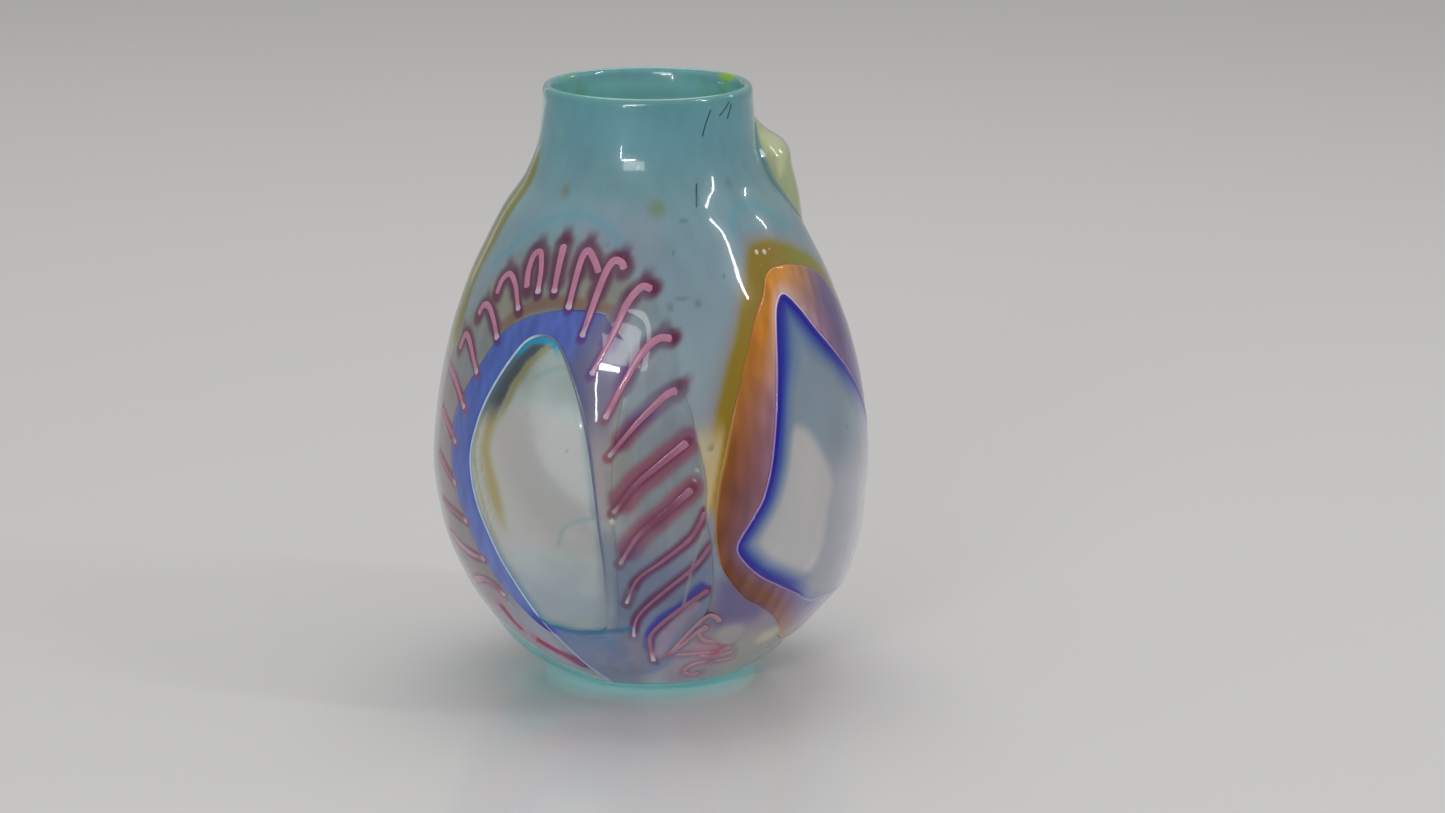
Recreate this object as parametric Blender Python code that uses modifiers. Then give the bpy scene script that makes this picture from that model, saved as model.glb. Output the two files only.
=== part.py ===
"""Hand blown art glass vase, as the separate bits of glass it is made from.

The vase stands on z = 0 with its axis on the Z axis. Azimuths are in degrees, with 0 at the
front (-Y) and positive towards +X. A place on the wall is an azimuth and a height.
"""

import math

import bmesh
import bpy
import numpy as np

NAME = "art_glass_vase"
MM = 0.001

# Turned form
OUTER_KNOTS = (
    (0.0, 29.0), (4.0, 39.8), (12.0, 48.6), (28.0, 62.4), (52.0, 76.0), (82.0, 80.7),
    (112.0, 77.2), (145.0, 67.5), (170.0, 55.3), (181.0, 49.0), (189.0, 43.2), (198.0, 39.8),
    (216.0, 37.7), (220.0, 36.6),
)  # height and radius of the outer surface, mm
HEIGHT = 220.0
FOOT_HEIGHT = 3.7
LIP_START = 214.3
SKIN_THICKNESS = 1.5
WALL_THICKNESS = 4.8
NECK_WALL = 3.9
GAP = 0.3
FLOOR_KNOTS = ((12.6, 0.0), (13.2, 24.0), (17.5, 42.0), (24.0, 52.0))  # inner floor, mm
FLOOR_END = 31.0
STEPS = 40
ROWS = 14

# Outlines on the wall, as (azimuth in degrees, height in mm)
LEFT_WINDOW = (
    (-32, 139), (-39, 136), (-45, 124), (-51, 108), (-53, 94), (-50, 76), (-46, 62), (-42, 49),
    (-36, 33), (-25, 31), (-14, 34), (-12, 52), (-13, 74), (-15, 97), (-20, 121), (-26, 135),
)
LEFT_COBALT = (
    (-35, 147), (-44, 142), (-53, 130), (-60, 114), (-64, 96), (-61, 78), (-56, 62), (-49, 46),
    (-40, 30), (-26, 25), (-10, 28), (-8, 50), (-9, 74), (-9, 100), (-11, 125), (-22, 145),
)
LEFT_RIBBON = (
    (-35, 173), (-52, 168), (-66, 150), (-76, 130), (-81, 106), (-80, 80), (-75, 54), (-64, 30),
    (-45, 12), (-20, 9), (3, 13), (10, 32), (12.5, 54), (13, 78), (12, 104), (9, 130), (4, 152),
    (-12, 170),
)
RIGHT_WINDOW = (
    (49, 143), (43, 131), (41, 110), (38, 92), (32, 76), (29, 66), (34, 57), (44, 48), (60, 42),
    (78, 40), (93, 48), (98, 64), (92, 82), (80, 99), (66, 120), (56, 136),
)
RIGHT_COBALT = (
    (48, 151), (40, 140), (37, 112), (33, 92), (27, 76), (23, 65), (28, 55), (40, 44), (58, 36),
    (80, 34), (98, 43), (104, 62), (97, 84), (83, 104), (67, 126), (56, 142),
)
RIGHT_PETAL = (
    (48, 160), (38, 151), (29, 132), (22, 111), (18, 90), (17, 72), (21, 55), (31, 40), (48, 27),
    (72, 17), (96, 24), (112, 44), (115, 68), (107, 96), (92, 124), (76, 148), (62, 159),
)
RIGHT_HALO = (
    (15, 71), (15, 90), (16, 108), (20, 125), (26, 143), (35, 158), (47, 169), (63, 168), (78, 157),
    (88, 142), (80, 134), (60, 148), (48, 150), (38, 138), (31, 120), (25, 98), (20, 74),
)
BACK_WINDOW = (
    (195, 139), (208, 122), (216, 98), (215, 72), (206, 50), (190, 42), (174, 50), (167, 72),
    (168, 98), (180, 122),
)
BACK_COBALT = (
    (195, 145), (210, 126), (219, 98), (218, 71), (208, 46), (190, 37), (172, 46), (164, 71),
    (165, 98), (178, 127),
)
BACK_PETAL = (
    (195, 157), (217, 134), (231, 98), (230, 66), (216, 36), (190, 26), (164, 36), (152, 66),
    (153, 98), (170, 135),
)
CUTTER_INNER = 8.0
CUTTER_OUTER = 170.0
CUTTER_REACH = 4.0

# Beads drawn over the wall
THREAD_RADIUS = 0.8
THREADS = (
    ((-31, 169), (-30.5, 161), (-31, 153)),
    ((-16, 162), (-19, 167), (-22, 168), (-24, 158), (-25, 149)),
    ((-8, 161), (-10, 165), (-13, 163), (-17, 152), (-20, 141)),
    ((2, 154), (-1, 157), (-5, 154), (-11, 141), (-16, 128)),
    ((7, 140), (3, 141), (-3, 132), (-12, 113)),
    ((8, 124), (2, 121), (-4, 112), (-10, 102)),
    ((9, 106), (4, 103), (-4, 91), (-10, 80)),
    ((11, 91), (5, 86), (-3, 73), (-8, 61)),
    ((13, 80), (7, 73), (-2, 58), (-7, 46)),
    ((14, 69), (7, 57), (-1, 43), (-5, 31)),
    ((16, 51), (10, 44), (4, 38), (0, 31), (-0.5, 24), (1.5, 18)),
    ((-44, 155), (-43.5, 162), (-41, 165), (-38, 162), (-37, 153)),
    ((-56, 149), (-55.5, 155), (-51, 158), (-46, 155), (-44, 146)),
    ((-64, 138), (-62, 144), (-58, 145), (-53, 142), (-50, 136)),
    ((-70, 127), (-67.5, 132.5), (-63, 131), (-57, 122)),
    ((-73, 119), (-66, 114), (-59, 108)),
    ((-71, 102), (-67, 99), (-62, 95)),
    ((-70, 87), (-66, 84), (-61, 80)),
    ((-70, 71), (-64, 69), (-58, 66)),
    ((-67, 57), (-60, 54), (-52, 53)),
    ((-62, 42), (-56, 41), (-50, 38)),
    ((-56, 31), (-52, 28), (-48, 24)),
    ((-44, 21), (-38, 17), (-31, 13)),
)
CURL_RADIUS = 0.9
CURLS = (
    ((21.5, 37.5), (18, 39.5), (14.5, 37), (10, 29), (6, 21)),
    ((16.5, 33.5), (14.5, 30), (16.5, 26), (19, 23), (16, 19.5), (9.5, 20.5)),
    ((14, 10.5), (17, 14.5), (25, 16), (34, 14.5)),
    ((20, 7.5), (28, 9.5), (36, 10.5)),
)
WINDOW_THREAD_RADIUS = 0.55
LILAC_THREAD_RADIUS = 0.6

# Drops pressed on the wall: azimuth, height, half width, half height and stand-out, mm
CLEAR_PRUNTS = ((27, 29, 6.4, 4.4, 2.2), (46, 24, 5.0, 3.4, 1.8))
OLIVE_PRUNT = (106, 187, 21.0, 17.0, 10.5)

COLOURS = {
    "clear_glass": (0.62, 0.66, 0.64),
    "blue_glass": (0.15, 0.25, 0.29),
    "aqua_glass": (0.16, 0.42, 0.44),
    "pale_blue_glass": (0.42, 0.58, 0.74),
    "cobalt_glass": (0.04, 0.06, 0.42),
    "smoky_glass": (0.19, 0.16, 0.19),
    "pink_glass": (0.50, 0.22, 0.32),
    "lilac_glass": (0.50, 0.40, 0.58),
    "orange_glass": (0.38, 0.13, 0.05),
    "olive_glass": (0.22, 0.17, 0.01),
}


def clear_scene():
    for ob in list(bpy.data.objects):
        bpy.data.objects.remove(ob)


def new_collection(name):
    collection = bpy.data.collections.new(name)
    bpy.context.scene.collection.children.link(collection)
    return collection


def glass(slot):
    """The glass of one colour, made once."""
    material = bpy.data.materials.get(slot)
    if material is None:
        material = bpy.data.materials.new(slot)
        material.use_nodes = True
        shader = material.node_tree.nodes["Principled BSDF"]
        shader.inputs["Base Color"].default_value = (*COLOURS[slot], 1.0)
        shader.inputs["Roughness"].default_value = 0.06
        shader.inputs["Metallic"].default_value = 0.0
        shader.inputs["IOR"].default_value = 1.5
        material.diffuse_color = (*COLOURS[slot], 1.0)
    return material


def smooth_through(knots, at):
    """A monotone cubic through the knots (x, y), read at the places in at."""
    x, y = np.array(knots, dtype=float).T
    step = np.diff(x)
    slope = np.diff(y) / step
    tangent = np.concatenate(([slope[0]], np.zeros(len(x) - 2), [slope[-1]]))
    same_way = slope[:-1] * slope[1:] > 0
    before = slope[:-1][same_way]
    after = slope[1:][same_way]
    tangent[1:-1][same_way] = 2 * before * after / (before + after)
    i = np.clip(np.searchsorted(x, at) - 1, 0, len(x) - 2)
    t = (np.asarray(at) - x[i]) / step[i]
    rise = (3 - 2 * t) * t * t
    return (
        y[i] * (1 - rise)
        + y[i + 1] * rise
        + step[i] * t * (1 - t) * (tangent[i] * (1 - t) - tangent[i + 1] * t)
    )


def layer_radius(height, depth):
    """The radius, in mm, of the surface that lies depth inside the outer one."""
    probe = 0.05
    low = np.clip(np.asarray(height, dtype=float) - probe, 0, HEIGHT)
    high = np.clip(np.asarray(height, dtype=float) + probe, 0, HEIGHT)
    lean = (smooth_through(OUTER_KNOTS, high) - smooth_through(OUTER_KNOTS, low)) / (high - low)
    return smooth_through(OUTER_KNOTS, height) - depth * np.sqrt(1 + lean * lean)


def on_wall(azimuth, height, radius):
    """The point, in metres, at an azimuth, height and radius."""
    turn = math.radians(azimuth)
    return (radius * math.sin(turn) * MM, -radius * math.cos(turn) * MM, height * MM)


def turned(name, profile, closed, collection):
    """A solid turned from a profile of (radius, height), in mm, about the Z axis."""
    mesh = bpy.data.meshes.new(name)
    edges = [(i, i + 1) for i in range(len(profile) - 1)]
    if closed:
        edges.append((len(profile) - 1, 0))
    mesh.from_pydata([(r * MM, 0.0, z * MM) for r, z in profile], edges, [])
    ob = bpy.data.objects.new(name, mesh)
    collection.objects.link(ob)
    screw = ob.modifiers.new("Turn", "SCREW")
    screw.axis = "Z"
    screw.steps = STEPS
    screw.render_steps = STEPS
    screw.use_merge_vertices = True
    screw.merge_threshold = 0.00001
    screw.use_smooth_shade = True
    return ob


def wall_heights():
    """Heights for the wall's rows, closer together where the wall bends."""
    return np.interp(
        np.linspace(0, 1, ROWS),
        (0.0, 0.18, 0.62, 0.92, 1.0),
        (FOOT_HEIGHT + GAP, 22.0, 150.0, 200.0, LIP_START - GAP),
    )


def skin_profile():
    """The closed profile of the coloured skin, from its outer top edge down and back up."""
    heights = wall_heights()
    outer = [(layer_radius(z, 0.0), z) for z in heights[::-1]]
    inner = [(layer_radius(z, SKIN_THICKNESS), z) for z in heights]
    return outer + inner


def inner_radius(height):
    """The radius of the bore of the bubble, whose wall thins towards the neck."""
    wall = np.interp(height, (FLOOR_END, 170.0, 200.0), (WALL_THICKNESS, WALL_THICKNESS, NECK_WALL))
    return layer_radius(height, wall)


def bubble_profile():
    """From the middle of the floor up the bore, over the top, and down the outside."""
    heights = wall_heights()
    floor = [(r, z) for z, r in FLOOR_KNOTS]
    bore = [(inner_radius(z), z) for z in (FLOOR_END, *heights[heights > FLOOR_END + 6])]
    outside = [(layer_radius(z, SKIN_THICKNESS + GAP), z) for z in heights[::-1]]
    return floor + bore + outside + [(0.0, FOOT_HEIGHT + GAP)]


def lip_profile():
    """The rounded lip, closed, running down its outside."""
    top = HEIGHT
    outer = layer_radius(LIP_START, 0.0)
    inner = layer_radius(LIP_START, NECK_WALL)
    crest = (outer + inner) / 2
    half = (outer - inner) / 2
    rise = top - LIP_START - 2.0
    arc = [
        (crest - half * math.cos(turn), top - rise + rise * math.sin(turn))
        for turn in np.linspace(0, math.pi, 7)
    ]
    return arc + [(outer, LIP_START), (inner, LIP_START)]


def foot_profile():
    """The foot, from the middle of its top to the middle of its flat ground face."""
    heights = np.linspace(FOOT_HEIGHT, 0, 4)
    side = [(float(smooth_through(OUTER_KNOTS, z)), z) for z in heights]
    return [(0.0, FOOT_HEIGHT)] + side + [(0.0, 0.0)]


def closed_curve(points, per_span):
    """A closed Catmull-Rom curve through points, with per_span steps between each two."""
    points = np.array(points, dtype=float)
    before = np.roll(points, 1, axis=0)
    after = np.roll(points, -1, axis=0)
    beyond = np.roll(points, -2, axis=0)
    curve = []
    for i in range(len(points)):
        for step in range(per_span):
            t = step / per_span
            curve.append(
                0.5
                * (
                    2 * points[i]
                    + (after[i] - before[i]) * t
                    + (2 * before[i] - 5 * points[i] + 4 * after[i] - beyond[i]) * t * t
                    + (3 * points[i] - before[i] - 3 * after[i] + beyond[i]) * t**3
                )
            )
    return np.array(curve)


def open_curve(points, per_span):
    """A Catmull-Rom curve from the first point to the last."""
    points = np.array(points, dtype=float)
    first = 2 * points[0] - points[1]
    last = 2 * points[-1] - points[-2]
    padded = np.vstack((first, points, last, last))
    whole = closed_curve(padded, per_span)
    return whole[per_span : per_span * len(points) + 1]


def grown(outline, margin):
    """The outline moved outwards over the wall by margin, in mm."""
    radius = layer_radius(outline[:, 1], 0.0)
    flat = np.column_stack((np.radians(outline[:, 0]) * radius, outline[:, 1]))
    along = np.roll(flat, -1, axis=0) - np.roll(flat, 1, axis=0)
    along /= np.linalg.norm(along, axis=1)[:, None]
    out = np.column_stack((along[:, 1], -along[:, 0]))
    area = np.sum(flat[:, 0] * np.roll(flat[:, 1], -1) - np.roll(flat[:, 0], -1) * flat[:, 1])
    if area < 0:
        out = -out
    moved = outline[:, 1] + out[:, 1] * margin
    return np.column_stack((outline[:, 0] + np.degrees(out[:, 0] * margin / radius), moved))


def radial_cutter(name, outline, margin, collection):
    """A prism from near the axis to outside the wall, over the outline grown by margin.

    Two of its four rings lie close on either side of the wall, so that its sides run square
    through the wall however far the outline turns.
    """
    edge = grown(closed_curve(outline, 2), margin)
    wall = layer_radius(edge[:, 1], 0.0)
    bm = bmesh.new()
    rings = []
    for radii in (wall * 0 + CUTTER_INNER, wall - CUTTER_REACH, wall + CUTTER_REACH,
                  wall * 0 + CUTTER_OUTER):
        rings.append([bm.verts.new(on_wall(a, z, r)) for (a, z), r in zip(edge, radii)])
    count = len(edge)
    for near, far in zip(rings, rings[1:]):
        for i in range(count):
            j = (i + 1) % count
            bm.faces.new((near[i], near[j], far[j], far[i]))
    bm.faces.new(rings[0][::-1])
    bm.faces.new(rings[-1])
    bmesh.ops.triangulate(bm, faces=bm.faces[:])
    bmesh.ops.recalc_face_normals(bm, faces=bm.faces[:])
    mesh = bpy.data.meshes.new(name)
    bm.to_mesh(mesh)
    bm.free()
    return hidden_cutter(bpy.data.objects.new(name, mesh), collection)


def hidden_cutter(ob, collection):
    """Puts a cutter in its collection, out of sight."""
    for other in list(ob.users_collection):
        other.objects.unlink(ob)
    collection.objects.link(ob)
    ob.hide_render = True
    ob.display_type = "WIRE"
    return ob


def cut(ob, cutter, operation):
    boolean = ob.modifiers.new(operation.title(), "BOOLEAN")
    boolean.operation = operation
    boolean.solver = "EXACT"
    boolean.object = cutter


def inlay(name, slot, outside, inside, parts, cutters):
    """A bit of the skin between two outlines; each is (outline, margin), or None inside."""
    ob = turned(name, skin_profile(), True, parts)
    cut(ob, radial_cutter(name + "_outside", *outside, cutters), "INTERSECT")
    if inside is not None:
        cut(ob, radial_cutter(name + "_inside", *inside, cutters), "DIFFERENCE")
    ob.data.materials.append(glass(slot))
    return ob


def bead(name, slot, path, radius, closed, collection):
    """A round thread of glass laid on the wall along a path of azimuths and heights."""
    curve = bpy.data.curves.new(name, "CURVE")
    curve.dimensions = "3D"
    curve.bevel_depth = radius * MM
    curve.bevel_resolution = 1
    curve.use_fill_caps = True
    spline = curve.splines.new("POLY")
    spline.points.add(len(path) - 1)
    for point, (azimuth, height) in zip(spline.points, path):
        lift = float(layer_radius(height, -(radius + GAP)))
        point.co = (*on_wall(azimuth, height, lift), 1.0)
    spline.use_cyclic_u = closed
    spline.use_smooth = True
    ob = bpy.data.objects.new(name, curve)
    curve.materials.append(glass(slot))
    collection.objects.link(ob)
    return ob


def prunt(name, slot, place, clearance, parts):
    """A drop of glass pressed on the wall: an ellipsoid with the wall's clearance cut away."""
    azimuth, height, half_width, half_height, stand_out = place
    bpy.ops.mesh.primitive_uv_sphere_add(segments=16, ring_count=10, radius=1.0)
    ob = bpy.context.object
    ob.name = name
    ob.data.name = name
    slope = layer_radius(height + 1, 0.0) - layer_radius(height - 1, 0.0)
    radius = float(layer_radius(height, 0.0))
    ob.scale = (half_width * MM, stand_out * MM, half_height * MM)
    ob.rotation_euler = (math.atan(float(slope) / 2), 0.0, math.radians(azimuth))
    ob.location = on_wall(azimuth, height, radius)
    for other in list(ob.users_collection):
        other.objects.unlink(ob)
    parts.objects.link(ob)
    ob.data.materials.append(glass(slot))
    ob.data.shade_smooth()
    cut(ob, clearance, "DIFFERENCE")
    return ob


def body_clearance(cutters):
    """The space of the whole vessel, grown by the gap."""
    heights = wall_heights()
    side = [(layer_radius(z, -GAP), z) for z in heights[::-1]]
    profile = [(0.0, side[0][1])] + side + [(0.0, side[-1][1])]
    return hidden_cutter(turned("body_clearance", profile, False, cutters), cutters)


def make_vessel(parts, cutters):
    """The clear bubble, the overlay skin with its three openings, the lip and the foot."""
    bubble = turned("clear_bubble", bubble_profile(), False, parts)
    bubble.data.materials.append(glass("clear_glass"))
    overlay = turned("blue_overlay", skin_profile(), True, parts)
    overlay.data.materials.append(glass("blue_glass"))
    openings = (
        ("left", LEFT_RIBBON), ("right", RIGHT_PETAL), ("halo", RIGHT_HALO), ("back", BACK_PETAL),
    )
    for side, outline in openings:
        cut(overlay, radial_cutter(side + "_opening", outline, GAP, cutters), "DIFFERENCE")
    lip = turned("lip_wrap", lip_profile(), True, parts)
    lip.data.materials.append(glass("aqua_glass"))
    foot = turned("foot_pad", foot_profile(), False, parts)
    foot.data.materials.append(glass("aqua_glass"))


def make_left_group(parts, cutters):
    """The arch: a clear lens, a cobalt band, a smoky ribbon and the drawn pink threads."""
    inlay("left_window_lens", "clear_glass", (LEFT_WINDOW, -GAP / 2), None, parts, cutters)
    inlay("left_cobalt_band", "cobalt_glass", (LEFT_COBALT, -GAP / 2), (LEFT_WINDOW, GAP / 2),
          parts, cutters)
    inlay("left_cane_ribbon", "smoky_glass", (LEFT_RIBBON, 0.0), (LEFT_COBALT, GAP / 2),
          parts, cutters)
    ring = closed_curve(LEFT_WINDOW, 2)
    bead("left_window_thread", "pale_blue_glass", ring, WINDOW_THREAD_RADIUS, True, parts)
    for number, points in enumerate(THREADS, 1):
        name = f"pink_thread_{number:02d}"
        bead(name, "pink_glass", open_curve(points, 2), THREAD_RADIUS, False, parts)
    for number, points in enumerate(CURLS, 1):
        name = f"base_curl_{number}"
        bead(name, "pink_glass", open_curve(points, 2), CURL_RADIUS, False, parts)


def make_right_group(parts, cutters):
    """The petal: a clear lens, a cobalt line, an orange band and an olive halo."""
    inlay("right_window_lens", "clear_glass", (RIGHT_WINDOW, -GAP / 2), None, parts, cutters)
    inlay("right_cobalt_line", "cobalt_glass", (RIGHT_COBALT, -GAP / 2),
          (RIGHT_WINDOW, GAP / 2), parts, cutters)
    inlay("right_petal_band", "orange_glass", (RIGHT_PETAL, -GAP / 2), (RIGHT_COBALT, GAP / 2),
          parts, cutters)
    inlay("right_olive_halo", "olive_glass", (RIGHT_HALO, 0.0), (RIGHT_PETAL, GAP / 2),
          parts, cutters)
    ring = closed_curve(RIGHT_COBALT, 2)
    bead("right_lilac_thread", "lilac_glass", ring, LILAC_THREAD_RADIUS, True, parts)


def make_back_group(parts, cutters):
    """The far petal: a clear lens, a cobalt line and an orange band."""
    inlay("back_window_lens", "clear_glass", (BACK_WINDOW, -GAP / 2), None, parts, cutters)
    inlay("back_cobalt_line", "cobalt_glass", (BACK_COBALT, -GAP / 2), (BACK_WINDOW, GAP / 2),
          parts, cutters)
    inlay("back_petal_band", "orange_glass", (BACK_PETAL, 0.0), (BACK_COBALT, GAP / 2),
          parts, cutters)


def make_prunts(parts, cutters):
    clearance = body_clearance(cutters)
    for number, place in enumerate(CLEAR_PRUNTS, 1):
        prunt(f"clear_prunt_{number}", "clear_glass", place, clearance, parts)
    prunt("olive_prunt", "olive_glass", OLIVE_PRUNT, clearance, parts)


def main():
    clear_scene()
    parts = new_collection(NAME)
    cutters = new_collection("cutters")
    make_vessel(parts, cutters)
    make_left_group(parts, cutters)
    make_right_group(parts, cutters)
    make_back_group(parts, cutters)
    make_prunts(parts, cutters)


main()
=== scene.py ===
"""Looks of the blown art glass vase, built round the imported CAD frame.

Places on the wall are an azimuth in degrees (0 at the front, positive towards +X, running from
FIRST_AZIMUTH through one turn) and a height in mm. Colours are linear RGB.
"""

import math

import bpy
import numpy as np
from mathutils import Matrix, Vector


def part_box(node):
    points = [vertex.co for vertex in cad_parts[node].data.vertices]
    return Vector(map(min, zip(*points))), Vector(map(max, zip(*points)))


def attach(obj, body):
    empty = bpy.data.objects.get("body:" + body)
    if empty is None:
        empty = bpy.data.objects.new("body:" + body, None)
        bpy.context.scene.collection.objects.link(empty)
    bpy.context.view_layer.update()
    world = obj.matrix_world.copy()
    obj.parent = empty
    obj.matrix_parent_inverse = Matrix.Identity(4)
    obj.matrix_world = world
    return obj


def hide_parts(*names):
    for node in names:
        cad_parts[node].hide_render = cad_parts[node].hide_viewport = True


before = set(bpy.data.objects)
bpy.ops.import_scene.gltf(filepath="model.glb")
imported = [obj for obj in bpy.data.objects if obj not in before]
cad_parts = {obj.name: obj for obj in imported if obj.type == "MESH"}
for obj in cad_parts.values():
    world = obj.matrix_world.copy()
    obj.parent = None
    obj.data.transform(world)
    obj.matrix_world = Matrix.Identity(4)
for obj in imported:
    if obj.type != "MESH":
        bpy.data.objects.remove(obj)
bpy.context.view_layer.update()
MM = 0.001  # metres
FIRST_AZIMUTH = -110.0

# ---------------------------------------------------------------- outlines on the wall
LEFT_WINDOW = (
    (-31, 139.5), (-37, 137.5), (-42, 130), (-48, 117), (-52, 104), (-53.5, 92), (-50.5, 76),
    (-46.5, 63), (-42, 50), (-38, 37), (-35.6, 31.8), (-32, 30.6), (-25, 30.2), (-17, 31.2),
    (-13.2, 36), (-12.2, 54), (-13, 72), (-14.5, 92), (-17, 110), (-21, 125), (-26, 136),
)
LEFT_COBALT = (
    (-33, 147.5), (-41, 144), (-48, 138), (-54, 127), (-60, 115), (-64.5, 102), (-63.5, 88),
    (-59, 72), (-53, 56), (-46.5, 42), (-39.5, 31), (-34, 26.5), (-25, 26.5), (-16, 27.5),
    (-10, 32), (-8.5, 54), (-9, 74), (-9.5, 96), (-7, 120), (-2, 144), (-14, 149), (-24, 149.5),
)
LEFT_RIBBON = (
    (-33, 172), (-46, 169), (-58, 161), (-67, 148), (-75, 133), (-81, 116), (-82, 98), (-80, 78),
    (-76, 56), (-69, 34), (-56, 17), (-42, 9), (-24, 8), (-6, 9), (6, 14), (11, 24),
    (15, 35), (16.6, 46), (16.2, 58), (15.2, 69), (13.7, 80), (14, 90), (12.9, 100), (11.7, 108),
    (10.6, 117), (9, 125), (8.2, 135), (7, 146), (1, 158), (-8, 167), (-20, 172),
)
RIGHT_COBALT = (
    (48, 151), (43.5, 147.5), (40.5, 138), (38, 125), (35.5, 110), (33, 95), (30, 83), (26.5, 75),
    (23, 66), (25.5, 59.5), (31, 53), (37, 48.5), (46, 42.5), (58, 36), (80, 34), (98, 43),
    (104, 62), (97, 84), (85, 101), (74, 116), (66, 126), (58, 137), (53, 145.5),
)
RIGHT_PETAL = (
    (50, 160.3), (43, 158), (39, 152), (34, 145), (28, 131.5), (23, 116), (19.5, 101), (17, 88),
    (16.2, 74), (18.5, 60), (22.5, 51.5), (28, 44), (36, 38), (45, 30), (53, 21), (70, 16),
    (92, 21), (110, 38), (116, 64), (109, 92), (96, 120), (84, 142), (74, 153.5), (62, 158.5),
)
RIGHT_HALO = (
    (17, 74), (14.8, 84), (14.8, 94), (17, 109), (20.5, 125), (26.5, 141), (32, 153), (37, 164),
    (42, 169.5), (54, 168), (66, 163.5), (77, 157), (87, 144), (95, 124), (84, 130), (70, 145),
    (58, 150), (48, 150), (38, 138), (31, 120), (25, 98), (20, 76),
)
BACK_WINDOW = (
    (195, 139), (208, 124), (217, 98), (217, 70), (208, 46), (190, 34), (172, 46), (164, 70),
    (165, 98), (179, 124),
)
BACK_COBALT = (
    (195, 145), (210, 128), (220, 98), (220, 69), (210, 42), (190, 30), (170, 42), (161, 69),
    (162, 98), (177, 129),
)
BACK_PETAL = (
    (195, 157), (216, 136), (231, 98), (231, 64), (218, 34), (190, 22), (162, 34), (149, 64),
    (150, 98), (169, 137),
)

# Drawn threads from the outer end to the bulb at the inner end. Each starts with its haze's reach
# and its half widths at the outer and the inner end, in mm.
THREADS = (
    ((4.0, 1.5, 1.3), (-32.3, 170), (-32, 161.7), (-31.4, 153.5)),
    ((4.0, 1.4, 1.3), (-16.8, 161.5), (-19, 165.5), (-22.2, 168.7), (-24.2, 164.5), (-25.4, 148.8)),
    ((4.0, 1.5, 1.2), (-8.2, 163), (-9.5, 165.5), (-12.5, 165.5), (-15.5, 159), (-19.9, 140)),
    ((4.0, 1.5, 1.2), (1.3, 156.8), (-2.2, 157.6), (-6.6, 152.3), (-10.4, 142.3), (-16.2, 127.6)),
    ((3.8, 1.5, 1.1), (6.8, 140.6), (2.7, 140.7), (-1.9, 136), (-6.7, 126.3), (-12, 113)),
    ((4.6, 1.6, 0.8), (7.6, 123.2), (4.4, 121.5), (-1.8, 114.2), (-6, 108), (-10.8, 99.8)),
    ((6.2, 1.6, 0.8), (9.6, 105.6), (2.7, 98.1), (-4, 90.1), (-9.6, 79.8)),
    ((5.0, 1.5, 0.8), (10.4, 89.1), (4.2, 81.2), (-3, 72.2), (-8.2, 60.5)),
    ((1.9, 0.95, 0.65), (13.6, 80.6), (9.9, 71.1), (2.7, 62.1), (-3.6, 54.8), (-7, 44.4)),
    ((1.7, 0.95, 0.65), (15.5, 68.4), (11.2, 60.1), (3.9, 50.7), (-2.8, 41), (-5, 35), (-5.5, 29.4)),
    ((1.4, 1.15, 0.9), (15.6, 50.6), (8.7, 43.5), (2, 34.5), (-0.2, 30), (-0.2, 25), (1.1, 17.3)),
    ((4.0, 1.4, 1.3), (-42.5, 153.8), (-44.3, 160), (-44, 165), (-41.3, 166), (-38.8, 160.3),
     (-37.4, 152.5)),
    ((3.8, 1.4, 1.2), (-55.5, 149.5), (-55.3, 154.6), (-52.3, 157.2), (-47.4, 153.6), (-43.2, 146)),
    ((3.6, 1.5, 1.3), (-62.2, 140.8), (-60.8, 144.6), (-57.2, 144.8), (-52.5, 140.5), (-49.1, 135)),
    ((3.2, 1.5, 1.2), (-68.5, 127), (-67, 132.5), (-64, 132.3), (-60.2, 128.8), (-54.8, 121.5)),
    ((2.4, 1.4, 1.2), (-74.9, 120.6), (-65.4, 115.6), (-58.2, 108.3)),
    ((2.4, 1.4, 1.2), (-73, 104), (-67, 100), (-61, 95)),
    ((2.4, 1.4, 1.2), (-72, 88), (-66, 84), (-60.5, 80)),
    ((2.4, 1.4, 1.2), (-72, 71), (-64, 69), (-56.5, 67)),
    ((2.6, 1.5, 1.3), (-70, 58), (-60, 54.5), (-51.5, 54)),
    ((2.6, 1.5, 1.2), (-65.5, 41), (-56, 44.6), (-50.6, 43), (-48.6, 39.6)),
    ((3.4, 2.4, 1.9), (-54.2, 35.2), (-53.6, 31.4), (-52.7, 27.3), (-50.9, 24.3)),
    ((3.2, 2.3, 1.6), (-46.5, 21.8), (-40.6, 18.8), (-34.1, 15.8), (-28.4, 13)),
)
# The pink curls in the cluster by the foot; the extra ones aren't in the CAD.
CURLS = (
    ((21.4, 35.1), (19.5, 37.7), (16.8, 39), (14, 35.2), (9.7, 26.9), (6.2, 20.2)),
    ((16.1, 34.5), (17.4, 32.9), (15.4, 31.2), (18, 27), (23.6, 25.2), (26.8, 20.8), (23.7, 18.4),
     (18.4, 19.7)),
    ((14.6, 11.3), (15.1, 13.6), (19.8, 15.8), (28.8, 15.4), (34.7, 15.7)),
    ((22.9, 9.7), (18.2, 9.2), (14.6, 11.3)),
)
EXTRA_CURLS = (
    ((9.1, 20.6), (14.3, 20.6), (22, 20.7), (30.1, 21.6)),
    ((16.5, 34), (13, 28.8), (9, 23.4), (5.4, 19.6)),
    ((22, 18.6), (27, 18.2), (32.5, 19.2)),
)
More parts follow.
